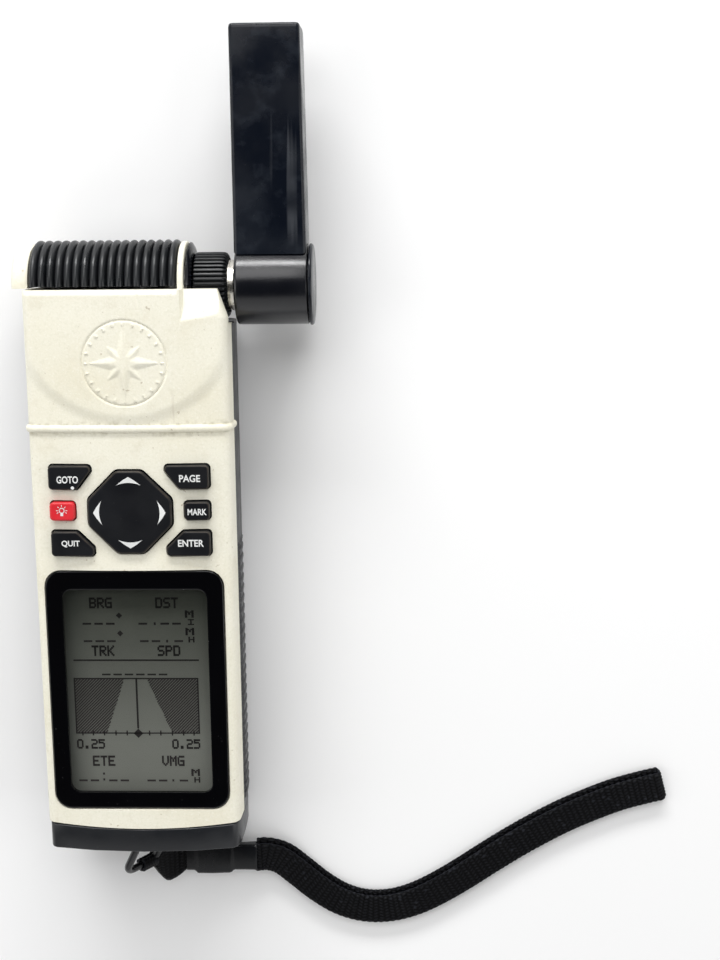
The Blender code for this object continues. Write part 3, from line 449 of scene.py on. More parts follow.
class Form:
    """A mesh built up from rings, in millimetres."""

    def __init__(self):
        self.form = bmesh.new()

    def ring(self, points):
        return [self.form.verts.new(Vector(p) * MM) for p in points]

    def face(self, points):
        self.form.faces.new(self.ring(points))

    def bridge(self, a, b):
        for i in range(len(a)):
            j = (i + 1) % len(a)
            self.form.faces.new((a[i], a[j], b[j], b[i]))

    def stack(self, rings):
        """Joins rings one to the next, and returns them."""
        made = [self.ring(points) for points in rings]
        for a, b in zip(made, made[1:]):
            self.bridge(a, b)
        return made

    def loft(self, rings, caps=True):
        made = self.stack(rings)
        if caps:
            self.form.faces.new(made[0])
            self.form.faces.new(made[-1])
        return self

    def sleeve(self, rings):
        """A closed form without ends: the last ring joins the first."""
        made = self.stack(rings)
        self.bridge(made[-1], made[0])
        return self

    def plate(self, outline, low, high, edge, steps, dish=0.0):
        """A flat form with its top edge rounded; dish lowers the middle of its top."""
        rings = [level(outline, low)]
        for k in range(steps + 1):
            angle = radians(90 * k / steps)
            rings.append(level(inset(outline, edge * (1 - cos(angle))), high - edge * (1 - sin(angle))))
        rim, mid_u, mid_v = rings[-1], *[sum(c) / len(outline) for c in zip(*outline)]
        for share in (0.86, 0.55, 0.25):
            sunk = high - dish * (1 - share * share)
            rings.append([(mid_u + (u - mid_u) * share, mid_v + (v - mid_v) * share, sunk) for u, v, _ in rim])
        made = self.stack(rings)
        self.form.faces.new(made[0])
        hub = self.form.verts.new(Vector((mid_u, mid_v, high - dish)) * MM)
        for i, vert in enumerate(made[-1]):
            self.form.faces.new((vert, made[-1][(i + 1) % len(outline)], hub))

    def turned(self, profile, place=AXIS, axis="X", steps=96):
        """A profile of (along, radius) turned about an axis."""
        rings = []
        for along, radius in profile:
            points = []
            for k in range(steps):
                angle = 2 * pi * k / steps
                c, s = max(radius, 1e-4) * cos(angle), max(radius, 1e-4) * sin(angle)
                offset = {"X": (along, c, s), "Y": (c, along, s), "Z": (c, s, along)}[axis]
                points.append([a + b for a, b in zip(place, offset)])
            rings.append(points)
        return self.loft(rings, profile[0][1] > 1e-3 and profile[-1] != profile[0])

    def tube(self, line, radius, sides):
        """A round wire along a line of points."""
        rings, up = [], heading(line, 0).orthogonal()
        for i, point in enumerate(line):
            ahead = heading(line, i)
            up = (up - ahead * up.dot(ahead)).normalized()
            side = ahead.cross(up)
            turns = [2 * pi * k / sides for k in range(sides)]
            rings.append([point + (up * cos(a) + side * sin(a)) * radius for a in turns])
        return self.loft(rings)

    def trim(self, y):
        """Cuts away what lies below a y, and closes the cut."""
        geometry = self.form.verts[:] + self.form.edges[:] + self.form.faces[:]
        result = bmesh.ops.bisect_plane(self.form, geom=geometry, plane_co=(0, y * MM, 0), plane_no=(0, -1, 0),
                                        clear_outer=True)
        edges = [e for e in result["geom_cut"] if isinstance(e, bmesh.types.BMEdge)]
        bmesh.ops.holes_fill(self.form, edges=edges)
        return self

    def mesh(self, name="form"):
        bmesh.ops.remove_doubles(self.form, verts=self.form.verts, dist=2e-7)
        bmesh.ops.recalc_face_normals(self.form, faces=self.form.faces)
        made = bpy.data.meshes.new(name)
        self.form.to_mesh(made)
        self.form.free()
        return made


def shade(mesh, angle=35.0):
    """Smooth shading, with edges sharper than the angle left hard."""
    mesh.shade_smooth()
    form = bmesh.new()
    form.from_mesh(mesh)
    limit = radians(angle)
    for edge in form.edges:
        if len(edge.link_faces) == 2 and edge.calc_face_angle(0.0) > limit:
            edge.smooth = False
    form.to_mesh(mesh)
    form.free()


def piece(name, source, look, body, stands_for=(), angle=35.0):
    """Adds a finished piece that rides on a body and may stand for CAD nodes."""
    mesh = source.mesh(name) if isinstance(source, Form) else source
    mesh.materials.clear()
    mesh.materials.append(look)
    shade(mesh, angle)
    made = added(name, mesh)
    if body:
        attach(made, body)
    if stands_for:
        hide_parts(*stands_for)
    return made


def stand_in(name, source, look, node, angle=35.0):
    """A piece that stands for one CAD node, on that node's body."""
    return piece(name, source, look, BODY_OF[node], [node], angle)


def carved(name, base, cutters):
    """The mesh left when the cutters are taken from base."""
    target = added(name, base)
    group = bpy.data.collections.new(name + "_cutters")
    bpy.context.scene.collection.children.link(group)
    for i, form in enumerate(cutters):
        group.objects.link(bpy.data.objects.new(f"{name}_cutter_{i}", form.mesh(f"{name}_cutter_{i}")))
    step = target.modifiers.new("carve", "BOOLEAN")
    step.solver = "EXACT"
    step.operand_type = "COLLECTION"
    step.collection = group
    result = taken(target)
    for old in list(group.objects):
        bpy.data.objects.remove(old)
    bpy.data.collections.remove(group)
    return result


def block(low, high):
    return prism(bar(low[0], high[0], low[1], high[1]), low[2], high[2])


def prism(outline, low, high):
    return Form().loft([level(outline, z) for z in (low, high)])


def softened(node, width, look, segments=2):
    """A copy of a CAD node with its edges rounded, which stands for it."""
    mesh = NODES[node].data.copy()
    form = bmesh.new()
    form.from_mesh(mesh)
    bmesh.ops.remove_doubles(form, verts=form.verts, dist=1e-6)
    bmesh.ops.dissolve_limit(form, angle_limit=radians(1.0), verts=form.verts, edges=form.edges)
    form.to_mesh(mesh)
    form.free()
    holder = added(node + "_soft", mesh)
    step = holder.modifiers.new("edges", "BEVEL")
    step.width = width * MM
    step.segments = segments
    step.limit_method = "ANGLE"
    step.angle_limit = radians(40)
    stand_in(node + "_body", taken(holder), look, node)


# ---- strap, first of the pieces
WEAVE_DEPTH, WEAVE_ALONG, WEAVE_ACROSS = 0.36, 1.5, 0.92


def weave(u, v):
    """Height of the woven surface, from 0 to 1, at u along and v across the webbing, in mm."""
    p = u / WEAVE_ALONG
    column = floor(p)
    along = p - column
    slant = 0.55 if column % 2 else -0.55
    q = v / WEAVE_ACROSS + slant * (along - 0.5) + 0.5 * (column % 2)
    across = q - floor(q)
    return (sin(pi * along) ** 0.6) * (sin(pi * across) ** 0.6)


def web_section(place, side, up, half, thick, travelled, steps, border, sag=0.0):
    """A ring round woven webbing; side is half its width, and its edges thin over the outer part, border."""
    ring = []
    for face in (1, -1):
        for k in range(steps + 1):
            t = (-1 + 2 * k / steps) * face
            edge = 1 - smooth((abs(t) - 1 + border) / border)
            height = thick / 2 - WEAVE_DEPTH + WEAVE_DEPTH * weave(travelled, t * half + 20 * face)
            ring.append(place + side * t + up * (face * height * (0.35 + 0.65 * edge) - sag * t * t))
    return ring


def make_strap():
    """The strap is one band: out on top, round a fold at the far end, and back below."""
    line = catmull(STRAP_ROUTE, 26)
    up, shift, bend, lift = Vector((0, 0, 1)), 0.6, 0.64, 0.02
    sides = [heading(line, i).cross(up).normalized() for i in range(len(line))]
    ahead, side = heading(line, len(line) - 1), sides[-1]
    over = [place + up * (lift + bend) + across * shift for place, across in zip(line, sides)]
    under = [place + up * (lift - bend) - across * shift for place, across in zip(line, sides)]
    fold, fold_ups = [], []
    for k in range(1, 11):
        c, s = cos(pi * k / 11), sin(pi * k / 11)
        fold.append(line[-1] + ahead * (bend * s) + up * (lift + bend * c) + side * (shift * c))
        fold_ups.append(up * c + ahead * s)
    places = over + fold + under[::-1]
    sides = sides + [side] * len(fold) + sides[::-1]
    ups = [up] * len(line) + fold_ups + [-up] * len(line)
    rings = []
    for place, side, way_up, travelled in zip(places, sides, ups, travels(places)):
        scallop = 0.10 * sin(2 * pi * travelled / 1.45)
        across = side * ((WEB_WIDTH - 0.3 + scallop) / 2)
        rings.append(web_section(place, across, way_up, WEB_WIDTH / 2, WEB_THICK, travelled, 40, 0.16))
    strap = stand_in("wrist_strap_webbing", Form().loft(rings), WEB, "wrist_strap", 60)
    keeper = make_keeper()


def make_keeper():
    """The vinyl sleeve that holds the two layers together: a box with a neck at each end."""
    stations = [
        (6.7, 3.75, 1.25), (6.9, 3.95, 1.55), (8.9, 3.9, 1.6), (9.4, 4.1, 1.7), (9.9, 4.6, 1.85),
        (10.6, 4.7, 1.9), (14.0, 4.62, 1.9), (18.8, 4.45, 1.9), (19.4, 4.35, 1.85), (19.8, 3.95, 1.6),
        (20.3, 3.75, 1.45), (23.0, 3.72, 1.42), (25.7, 3.85, 1.55), (26.4, 3.9, 1.55), (26.5, 3.8, 1.45),
    ]
    rings = []
    for x, half, thick in stations:
        sag = 0.18 * sin(x * 1.3)
        section = rounded_rect(-half, half, -thick, thick, min(0.8, thick * 0.6), 5)
        rings.append([(x, KEEPER_Y + v + 0.05 * sin(3 * x), KEEPER_Z + w + sag * (v / half) * 0.3)
                      for v, w in section])
    return stand_in("strap_keeper_sleeve", Form().loft(rings), VINYL, "strap_keeper", 50)


def make_loop():
    """The webbing from the bail to the keeper, in two pieces that meet beside the bail."""
    centres = [Vector(c) for c in ((-3.2, -91.2, 11.2), (-2.3, -91.2, 9.8), (-0.8, -91.8, 8.0),
                                   (1.6, -92.5, 6.2), (4.3, -92.2, 4.8), (6.95, -91.6, 4.0))]
    halves = [(-1.2, 0.4, 2.1), (-0.9, 2.2, 2.0), (-0.4, 4.3, 1.5), (0.0, 5.9, 0.8), (0.0, 5.3, 0.2),
              (0.0, 3.8, 0.0)]
    line, rings = catmull(centres, 12), []
    distances = travels(line)
    for i, half in enumerate(catmull(halves, 12)):
        up = heading(line, i).cross(half).normalized()
        rings.append(web_section(line[i], half, up, half.length, 1.9, distances[i], 36, 0.18, 0.4))
    lower = piece("strap_loop_lower", Form().loft(rings), WEB, None, ["strap_loop"], 60)
    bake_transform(lower)
    wire = BAIL_CENTRE + BAIL_OUT * BAIL_LENGTH - BAIL_PIN * 2.8
    out_across = BAIL_OUT.cross(BAIL_PIN)
    rings = []
    for k in range(33):
        angle = radians(-200 + 330 * k / 32)
        across = BAIL_OUT * cos(angle) + out_across * sin(angle)
        ring = []
        for face in (1, -1):
            for j in range(25):
                t = (-1 + j / 12) * face
                height = 1.5 + face * (0.22 + 0.24 * weave(k * 0.3, t * 2.5))
                ring.append(wire + BAIL_PIN * t * 2.5 + across * height)
        rings.append(ring)
    wrap = piece("strap_loop_wrap", Form().loft(rings), WEB, None, (), 60)
    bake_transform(wrap)


make_strap()
make_loop()


# ---- case
def rose_relief(x, y):
    """A compass rose of eight points in a ring, raised from the surface."""
    y -= ROSE_Y
    r = hypot(x, y)
    if r > ROSE_R + 0.5:
        return 0.0
    height = -0.34 * max(0.0, 1 - abs(r - ROSE_R) / 0.34)
    for length, waist, turn in ((8.7, 2.5, 0.0), (5.9, 2.2, 45.0)):
        angle = (degrees(atan2(y, x)) + turn + 45) % 90 - 45
        along, off = r * cos(radians(angle)), r * abs(sin(radians(angle)))
        corner = waist * sin(radians(45))
        limit = (length - along) * corner / (length - waist * cos(radians(45)))
        if limit > off:
            height = max(height, min(0.46, 0.10 + 0.32 * (limit - off)))
    tick = (degrees(atan2(y, x)) + 7.5) % 15 - 7.5
    if 8.95 < r < 9.75 and abs(r * radians(tick)) < 0.22:
        height = 0.22
    return height


def cover_lift(x, y):
    """How far the front stands above the plain crown."""
    d = hypot(x, y - PLATEAU_Y)
    lift = PLATEAU_RISE * smooth((PLATEAU_R + 0.9 - d) / 3.6)
    if y > 36:
        lift += rose_relief(x, y)
    if 57.0 < y < 65.4:
        crease = x - (4.1 + 0.35 * sin((y - 57) * 0.55))
        lift -= 0.16 * max(0.0, 1 - abs(crease) / 0.45) * smooth((y - 57.0) / 1.5)
    return lift


def ridge_swell(y):
    t = (y - RIDGE_Y) / 0.95
    return 0.72 * sqrt(max(0.0, 1 - t * t))


def spaced(marks):
    """Values from (start, step) marks; the last mark ends the run."""
    values = []
    for (start, step), (end, _) in zip(marks, marks[1:]):
        count = max(1, round((end - start) / step))
        values += [start + (end - start) * i / count for i in range(count)]
    return values + [marks[-1][0]]


def cover_stations(bottom):
    """Half of the cover's section from the crown's middle down its side: x, z and the way out."""
    made = []
    for x in spaced([(0.0, 0.26), (11.2, 0.5), (12.8, 0.2), (15.2, 0.45), (22.8, 0)]):
        made.append((x, CROWN_Z - (CROWN_Z - EDGE_Z) * (x / 22.8) ** 1.8, 0.0, 1.0))
    for k in range(1, 8):
        angle = radians(90 - 84 * k / 7)
        c, s = cos(angle), sin(angle)
        made.append((22.8 + 2.22 * c, 26.52 + 2.23 * s, c, s))
    for k in range(1, 7):
        t = k / 6
        made.append((25.01 + 0.29 * t, 26.7 + (bottom - 26.7) * t, 1.0, 0.0))
    return made


def bowed(x, y, z):
    """The joint with the battery door is a shallow bow."""
    return (x, y + (END_CORNER - END_MID) * (x / HALF_WIDTH) ** 2 * smooth((-60 - y) / 11.9), z)


def cover_point(x, z, nx, nz, y, side):
    """One point of the cover's outside."""
    swell = ridge_swell(y)
    z += (cover_lift(side * x, y) * (nz * nz) if nz > 0 else 0.0) + swell * nz
    x += swell * nx
    if side > 0 and y > 56.2:
        x -= (25.3 - min(25.3, 22.6 + (67.0 - y) * 0.352)) * smooth((x - 13.0) / 9.8)
        facet = 30.55 - 0.489 * (y - 57.8)
        share = smooth((x - 13.9 + 0.25 * max(0.0, 60 - y)) / 0.6)
        over = z - facet
        if over > -0.15:
            z -= share * (over if over > 0.15 else (over + 0.15) ** 2 / 0.6)
    if y > 64.9 and not (side > 0 and x > 13.2):
        z -= (y - 64.9) ** 2 * 0.75 * nz
    return bowed(side * x, y, z)


def loaf(rows, station_rows, point):
    """A closed form from half sections mirrored to both sides."""
    rings = []
    for y, stations in zip(rows, station_rows):
        right = [point(*s, y, 1) for s in stations]
        left = [point(*s, y, -1) for s in stations[1:]]
        rings.append(left[::-1] + right)
    return Form().loft(rings)


def key_corners(x0, x1, y0, y1, cut_x, cut_y, grow=0.0):
    """A key's corners, counterclockwise, in which the one that faces the rocker is cut off."""
    x0, x1, y0, y1 = grown((x0, x1, y0, y1), grow)
    inner = (x1 if x1 < 0 else x0, y0 if y0 > ROCKER_Y else y1)
    corners, points = bar(x0, x1, y0, y1), []
    for i, (x, y) in enumerate(corners):
        if cut_x == 0 or (x, y) != inner:
            points.append((x, y))
            continue
        ends = [(x + copysign(cut_x, x), y), (x, y + copysign(cut_y, y - ROCKER_Y))]
        points += ends if corners[i - 1][1] == y else ends[::-1]
    return points


def octagon(half, flat):
    points = [(half, -flat), (half, flat), (flat, half), (-flat, half)]
    points += [(-half, flat), (-half, -flat), (-flat, -half), (flat, -half)]
    return [(x, y + ROCKER_Y) for x, y in points]


def make_cover():
    rows = spaced([(END_MID, 1.6), (-6.0, 0.8), (-1.0, 0.45), (29.4, 0.5), (31.3, 0.13), (33.5, 0.5),
                   (37.6, 0.26), (59.8, 0.35), (64.6, 0.2), (TOP_Y, 0)])
    rows = sorted(rows + [HEAD_Y - 0.01, HEAD_Y + 0.01])
    low, high = cover_stations(PART_Z), cover_stations(HEAD_Z)
    form = loaf(rows, [high if y > HEAD_Y else low for y in rows], cover_point)
    cutters = [
        block((-22.8, -95, 5), (22.8, 55.5, 26.0)), block((-22.8, 55.4, 5), (12.4, 64.0, 26.0)),
        block((-22.8, -1.5, 25), (22.8, 55.45, 27.7)), block((-22.8, 55.35, 25), (12.4, 64.0, 27.7)),
        block((14.4, 57.5, -5), (40, 80, 24.9)),
        prism(rounded_rect(*grown(LENS, 0.3), 4.5), 27.0, 40),
        prism(rounded_rect(*grown(WINDOW, 1.5), 0.8), 20, 28),
        prism(rounded(octagon(ROCKER_HALF + 0.35, ROCKER_FLAT), 2.3), 20, 40),
    ]
    for plan in KEYS.values():
        cutters.append(prism(rounded(key_corners(*plan, 0.18), 1.2), 20, 40))
    cover = carved("front_cover_shell", form.mesh(), cutters)
    cheek = Form().turned([(12.9, 9.0), (12.9, 10.7), (13.2, 10.95), (14.0, 11.0), (14.3, 10.8), (14.4, 10.5),
                           (14.4, 9.0), (12.9, 9.0)]).trim(TOP_Y - 0.6)
    extra = bmesh.new()
    extra.from_mesh(cover)
    extra.from_mesh(cheek.mesh())
    extra.to_mesh(cover)
    extra.free()
    stand_in("front_cover_shell", cover, CREAM, "front_cover", 38)


def case_stations(top):
    """Half of the rear case's section from the middle of its back up its side."""
    made = [(x, 0.0, 0.0, -1.0) for x in (0.0, 6.0, 12.0, 16.0, 19.0)]
    for k in range(1, 9):
        angle = radians(-90 + 75 * k / 8)
        c, s = cos(angle), sin(angle)
        made.append((19.0 + 5.4 * c, 5.4 + 5.4 * s, c, s))
    for z in spaced([(5.0, 0.75), (8.0, 0.35), (9.4, 1.2), (14.0, 1.2), (17.8, 0.35), (19.2, 0.4), (20.6, 0)]):
        if z < top - 0.1:
            made.append((24.65 + 0.65 * smooth((z - 4) / 13.0), z, 1.0, 0.0))
    return made + [(25.3, top, 1.0, 0.0)]


def case_point(x, z, nx, nz, y, side):
    if nx == 1.0 and z > 7.0:
        phase = ((y + 69.6) / 2.78) % 1.0
        if -69.2 < y < 1.0:
            rib = smooth((0.36 - abs(phase - 0.5)) / 0.14)
            fade = smooth((z - 7.6) / 0.9) * smooth((19.9 - z) / 0.7)
            x += (-0.45 + 0.95 * rib) * fade
    if y > TOP_Y - 1.6 and nz < 0:
        z += 0.5 * ((y - TOP_Y + 1.6) / 1.6) ** 2 * (-nz)
    return bowed(side * x, y, z)


SCREWS = [(-20.0, 45.0), (20.0, 45.0), (-20.0, -66.3), (20.0, -66.3)]


def make_rear_case():
    rows = spaced([(END_MID, 1.0), (-69.6, 0.3475), (1.3, 2.4), (50.0, 1.0), (TOP_Y - 1.6, 0.4), (TOP_Y, 0)])
    rows = sorted(rows + [HEAD_Y - 0.31, HEAD_Y - 0.29])
    low, high = case_stations(PART_Z - 0.4), case_stations(HEAD_Z - 0.3)
    while len(high) < len(low):
        high.insert(-1, high[-2])
    form = loaf(rows, [high if y > HEAD_Y - 0.3 else low for y in rows], case_point)
    cutters = [
        block((-22.6, -95, 2.2), (22.6, 55.5, 40)), block((-22.6, 55.4, 2.2), (12.4, 64.0, 40)),
        block((14.4, 57.5, -5), (40, 80, 40)),
        prism(rounded_rect(-15.3, 15.3, -55.3, -24.7, 1.5), -1, 0.9),
        prism(arc(0, PORT_Y, 5.3, 0, 352.5, 47), -1, 4),
    ]
    for x, y in SCREWS:
        cutters.append(prism(arc(x, y, 2.25, 0, 345, 23), -1, 1.9))
    mesh = carved("rear_case_shell", form.mesh(), cutters)
    stand_in("rear_case_shell", mesh, CASE, "rear_case", 40)


def make_head_fittings():
    low, high, count = -23.6, 12.6, 17
    pitch = (high - low) / count
    profile = [(low, 8.8), (low, 10.2)]
    for i in range(count):
        for k in range(0 if i == 0 else 1, 13):
            t = k / 12
            profile.append((low + pitch * (i + t), 9.9 + 1.5 * max(0.0, sin(pi * t)) ** 0.5))
    ribs = Form().turned(profile + [(high, 8.8), (low, 8.8)]).trim(TOP_Y + 0.75)
    stand_in("top_grip_ribs", ribs, GRIP, "top_grip", 60)
    edge = [(-27.9 + 0.9 * (1 - sin(radians(a))), 9.6 + 0.9 * cos(radians(a)))
            for a in (90, 70, 50, 30, 10, 0)]
    disc = Form().turned([(-27.9, 0.0), (-27.9, 8.0)] + edge + [(-24.4, 10.5), (-23.9, 10.2), (-23.9, 0.0)])
    stand_in("end_disc_cream", disc.trim(TOP_Y + 0.35), CREAM, "end_disc", 50)
    flange = Form().turned([(14.8, 4.0), (14.8, 10.5), (15.0, 10.7), (15.3, 10.6), (15.7, 9.9), (15.95, 9.0),
                            (16.0, 8.6), (16.0, 4.0)]).trim(TOP_Y + 0.85)
    flange.turned([(14.8, 4.0), (14.8, 7.9), (15.9, 7.9), (16.0, 7.7), (16.0, 4.0)], steps=72)
    stand_in("socket_flange", flange, HUB, "jack_flange", 45)


def make_collar():
    """The knurled lock collar with a rounded outer end."""
    teeth, steps = 42, 8
    profile = [(16.3, 7.2, 0), (16.35, 7.8, 0.3), (16.55, 8.1, 0.8), (16.9, 8.2, 1), (19.5, 8.2, 1),
               (22.6, 8.2, 1), (23.5, 8.15, 0.95), (24.0, 7.95, 0.8), (24.35, 7.5, 0.4), (24.6, 6.75, 0),
               (23.4, 6.7, 0), (23.3, 5.6, 0), (16.3, 5.6, 0)]
    rings = []
    for x, radius, share in profile:
        ring = []
        for k in range(teeth * steps):
            r = radius - 0.95 * share * (1 - smooth((abs((k / steps) % 1.0 - 0.5) - 0.12) / 0.15))
            angle = 2 * pi * k / (teeth * steps)
            ring.append((x, AXIS_Y + r * cos(angle), AXIS_Z + r * sin(angle)))
        rings.append(ring)
    stand_in("lock_collar_knurled", Form().sleeve(rings), GRIP, "lock_collar", 40)


def make_antenna():
    sleeve = Form().turned([(18.6, 2.5), (18.6, 3.3), (23.5, 3.3), (23.6, 6.0), (23.9, 6.3), (24.9, 6.3),
                            (25.0, 6.05), (25.2, 6.05), (25.3, 6.3), (26.0, 6.25), (26.2, 6.0),
                            (26.2, 2.5), (18.6, 2.5)])
    stand_in("plug_sleeve", sleeve, NICKEL, "plug_body", 40)
    hub = Form().turned([(26.5, 2.6), (26.5, 9.2), (26.6, 9.5), (26.9, 9.75), (27.3, HUB_R), (44.1, HUB_R),
                         (44.3, 9.7), (44.4, 9.4), (44.4, 7.6), (28.5, 7.6), (28.5, 2.6), (26.5, 2.6)],
                        steps=120)
    stand_in("antenna_hub_shell", hub, HUB, "antenna_hub", 45)
    cap = Form().turned([(42.2, 0.0), (42.2, 7.2), (44.7, 7.2), (44.7, 9.9), (44.8, 10.05), (45.0, 10.1),
                         (45.3, 10.0), (45.5, 9.8), (45.6, 9.5), (45.6, 0.0)], steps=120)
    stand_in("hub_cap_disc", cap, BLADE, "hub_end_cap", 45)
    make_blade()


def make_blade():
    """The hollow blade: a lofted box whose sides taper and whose edges are rounded."""
    foot = AXIS_Y + HUB_R + 0.3
    rings = []
    for y, close in ((AXIS_Y + 6.6, 0.0), (foot + 2.0, 0.0), (90.0, 0.0), (110.0, 0.0), (127.6, 0.0),
                     (128.3, 0.12), (128.6, 0.4), (BLADE_END, 0.8)):
        share = (y - AXIS_Y) / (BLADE_END - AXIS_Y)
        x0, x1 = 26.4 + close, 44.3 - 0.8 * share - close
        section = rounded_rect(x0, x1, 9.1 + close, 22.3 - close, 1.0 - 0.4 * close)
        rings.append([(x, y, z) for x, z in section])
    well = Form().turned([(10, 0.0), (10, 10.1), (60, 10.1), (60, 0.0)])
    cutters = [well, block((28.2, 60, 10.9), (41.9, 126.9, 20.6)),
               block((27.9, foot + 1.2, 0), (42.2, 127.2, 12.0))]
    mesh = carved("antenna_blade_shell", Form().loft(rings).mesh(), cutters)
    stand_in("antenna_blade_shell", mesh, BLADE, "antenna_blade", 40)


make_cover()
make_rear_case()
make_head_fittings()
make_collar()
make_antenna()
softened("battery_door", 0.45, SATIN, 3)
softened("blade_back_cover", 0.2, CASE)


# ---- keys and rocker
def print_text(name, text, centre, width, height, z, body):
    """Flat lettering of a given size, as a thin mesh just above a surface."""
    curve = bpy.data.curves.new(name, "FONT")
    curve.body = text
    curve.offset = 0.022
    curve.resolution_u = 4
    mesh = taken(added(name, curve))
    xs, ys = [v.co.x for v in mesh.vertices], [v.co.y for v in mesh.vertices]
    for vert in mesh.vertices:
        u = (vert.co.x - min(xs)) / (max(xs) - min(xs)) - 0.5
        v = (vert.co.y - min(ys)) / (max(ys) - min(ys)) - 0.5
        vert.co = Vector((centre[0] + u * width, centre[1] + v * height, z)) * MM
    piece(name, thickened(mesh, PRINT_DEPTH), LEGEND, body)


def thickened(mesh, depth):
    """A flat mesh given a little depth below it, so that it is a closed solid."""
    form = bmesh.new()
    form.from_mesh(mesh)
    bmesh.ops.remove_doubles(form, verts=form.verts, dist=1e-7)
    made = bmesh.ops.extrude_face_region(form, geom=form.faces[:])
    for vert in [g for g in made["geom"] if isinstance(g, bmesh.types.BMVert)]:
        vert.co.z -= depth * MM
    bmesh.ops.recalc_face_normals(form, faces=form.faces)
    form.to_mesh(mesh)
    form.free()
    return mesh


def flat_shapes(name, outlines, z, look, body, depth):
    form = Form()
    for outline in outlines:
        form.face(level(outline, z))
    mesh = bpy.data.meshes.new(name)
    form.form.to_mesh(mesh)
    form.form.free()
    piece(name, thickened(mesh, depth), look, body)


def stroke(a, b, width):
    a, b = Vector(a), Vector(b)
    along = (b - a).normalized()
    off = Vector((-along.y, along.x)) * width / 2
    return [a - off, b - off, b + off, a + off]


def make_keys():
    legends = {
        "key_goto": ("GOTO", (-15.1, 20.0), 5.35, 1.8), "key_page": ("PAGE", (15.2, 20.2), 5.2, 1.8),
        "key_mark": ("MARK", (16.8, 11.8), 4.75, 1.6), "key_quit": ("QUIT", (-15.0, 3.8), 4.6, 1.75),
        "key_enter": ("ENTER", (15.0, 3.9), 6.4, 1.75),
    }
    for name, plan in KEYS.items():
        form = Form()
        form.plate(inset(rounded(key_corners(*plan), 1.15), 0.16), 27.2, KEY_TOP, 0.45, 5, dish=0.05)
        form.plate(rounded_rect(*grown(plan, 0.7), 0.8), 26.4, 27.3, 0.1, 2)
        stand_in(name + "_cap", form, RED if name == "key_light" else KEY, name, 50)
        if name in legends:
            text, centre, width, height = legends[name]
            print_text(name + "_legend", text, centre, width, height, KEY_TOP + PRINT_RISE, name)
    make_lamp_symbol()
    dot = arc(-13.9, 17.95, 0.42, 0, 330, 11)
    flat_shapes("key_goto_dot", [dot], KEY_TOP + PRINT_RISE, LEGEND, "key_goto", 0.05)


def make_lamp_symbol():
    """A small lamp with rays, in outline."""
    x, y = -16.85, 12.25
    circle = arc(x, y, 0.62, -60, 240, 14)
    shapes = [stroke(a, b, 0.2) for a, b in zip(circle, circle[1:])]
    shapes.append(bar(x - 0.34, x + 0.34, y - 1.35, y - 0.5))
    for turn in (0, 45, 90, 135, 180, -28, 208):
        way = Vector((cos(radians(turn)), sin(radians(turn))))
        shapes.append(stroke(Vector((x, y)) + way * 0.95, Vector((x, y)) + way * 1.4, 0.16))
    flat_shapes("key_light_symbol", shapes, KEY_TOP + PRINT_RISE, LEGEND, "key_light", PRINT_DEPTH)


def make_rocker():
    form = Form()
    form.plate(rounded(octagon(ROCKER_HALF, ROCKER_FLAT - 0.2), 2.3), 28.3, ROCKER_TOP, 0.6, 5, dish=0.15)
    stand_in("rocker_pad_octagon", form, KEY, "rocker_pad", 50)
    shapes = []
    for quarter in range(4):
        angle = pi / 2 * quarter
        c, s = cos(angle), sin(angle)
        inner = [(6.9 + 0.62 * (1 - (k / 6) ** 2), 3.0 * k / 6) for k in range(-6, 7)]
        marker = [(9.0, 0.0), (8.2, 1.35)] + inner[::-1] + [(8.2, -1.35)]
        shapes.append([(u * c - v * s, ROCKER_Y + u * s + v * c) for u, v in marker])
    flat_shapes("rocker_arrows", shapes, ROCKER_TOP + PRINT_RISE, LEGEND, "rocker_pad", 0.12)


make_keys()
make_rocker()


# ---- lens and display
def make_lens():
    """The flat lens: its black border is one piece and its clear window another."""
    outer, inner = rounded_rect(*LENS, 4.2, 10), rounded_rect(*WINDOW, 2.5, 10)
    rings = [level(inner, 28.1), level(outer, 28.1)]
    for k in range(4):
        a = radians(90 * k / 3)
        rings.append(level(inset(outer, 0.28 * (1 - cos(a))), LENS_TOP - 0.28 * (1 - sin(a))))
    rings += [level(inset(outer, amount), LENS_TOP) for amount in (0.45, 1.2)]
    rings += [level(inset(inner, -amount), LENS_TOP) for amount in (0.5, 0.12)]
    stand_in("lens_border", Form().sleeve(rings + [level(inner, 29.24)]), GLOSS, "lens_mask", 50)
    form = Form()
    form.plate(inset(inner, 0.03), 28.75, 29.26, 0.03, 2)
    stand_in("lens_window", form, CLEAR, "display_lens", 20)


GLYPHS = {
    "B": "11110 10001 10001 11110 10001 10001 11110", "R": "11110 10001 10001 11110 10100 10010 10001",
    "G": "01111 10000 10000 10111 10001 10001 01111", "D": "11110 10001 10001 10001 10001 10001 11110",
    "S": "01111 10000 10000 01110 00001 00001 11110", "T": "11111 00100 00100 00100 00100 00100 00100",
    "K": "10001 10010 10100 11000 10100 10010 10001", "P": "11110 10001 10001 11110 10000 10000 10000",
    "E": "11111 10000 10000 11110 10000 10000 11111", "V": "10001 10001 10001 10001 10001 01010 00100",
    "M": "10001 11011 10101 10101 10001 10001 10001", "0": "01110 10001 10001 10001 10001 10001 01110",
    "2": "11110 00001 00001 01110 10000 10000 11111", "5": "11111 10000 11110 00001 00001 00001 11110",
    ".": "00000 00000 00000 00000 00000 01100 01100", "I": "11111 00100 00100 00100 00100 00100 11111",
    "H": "10001 10001 10001 11111 10001 10001 10001",
}
DOT = 0.335


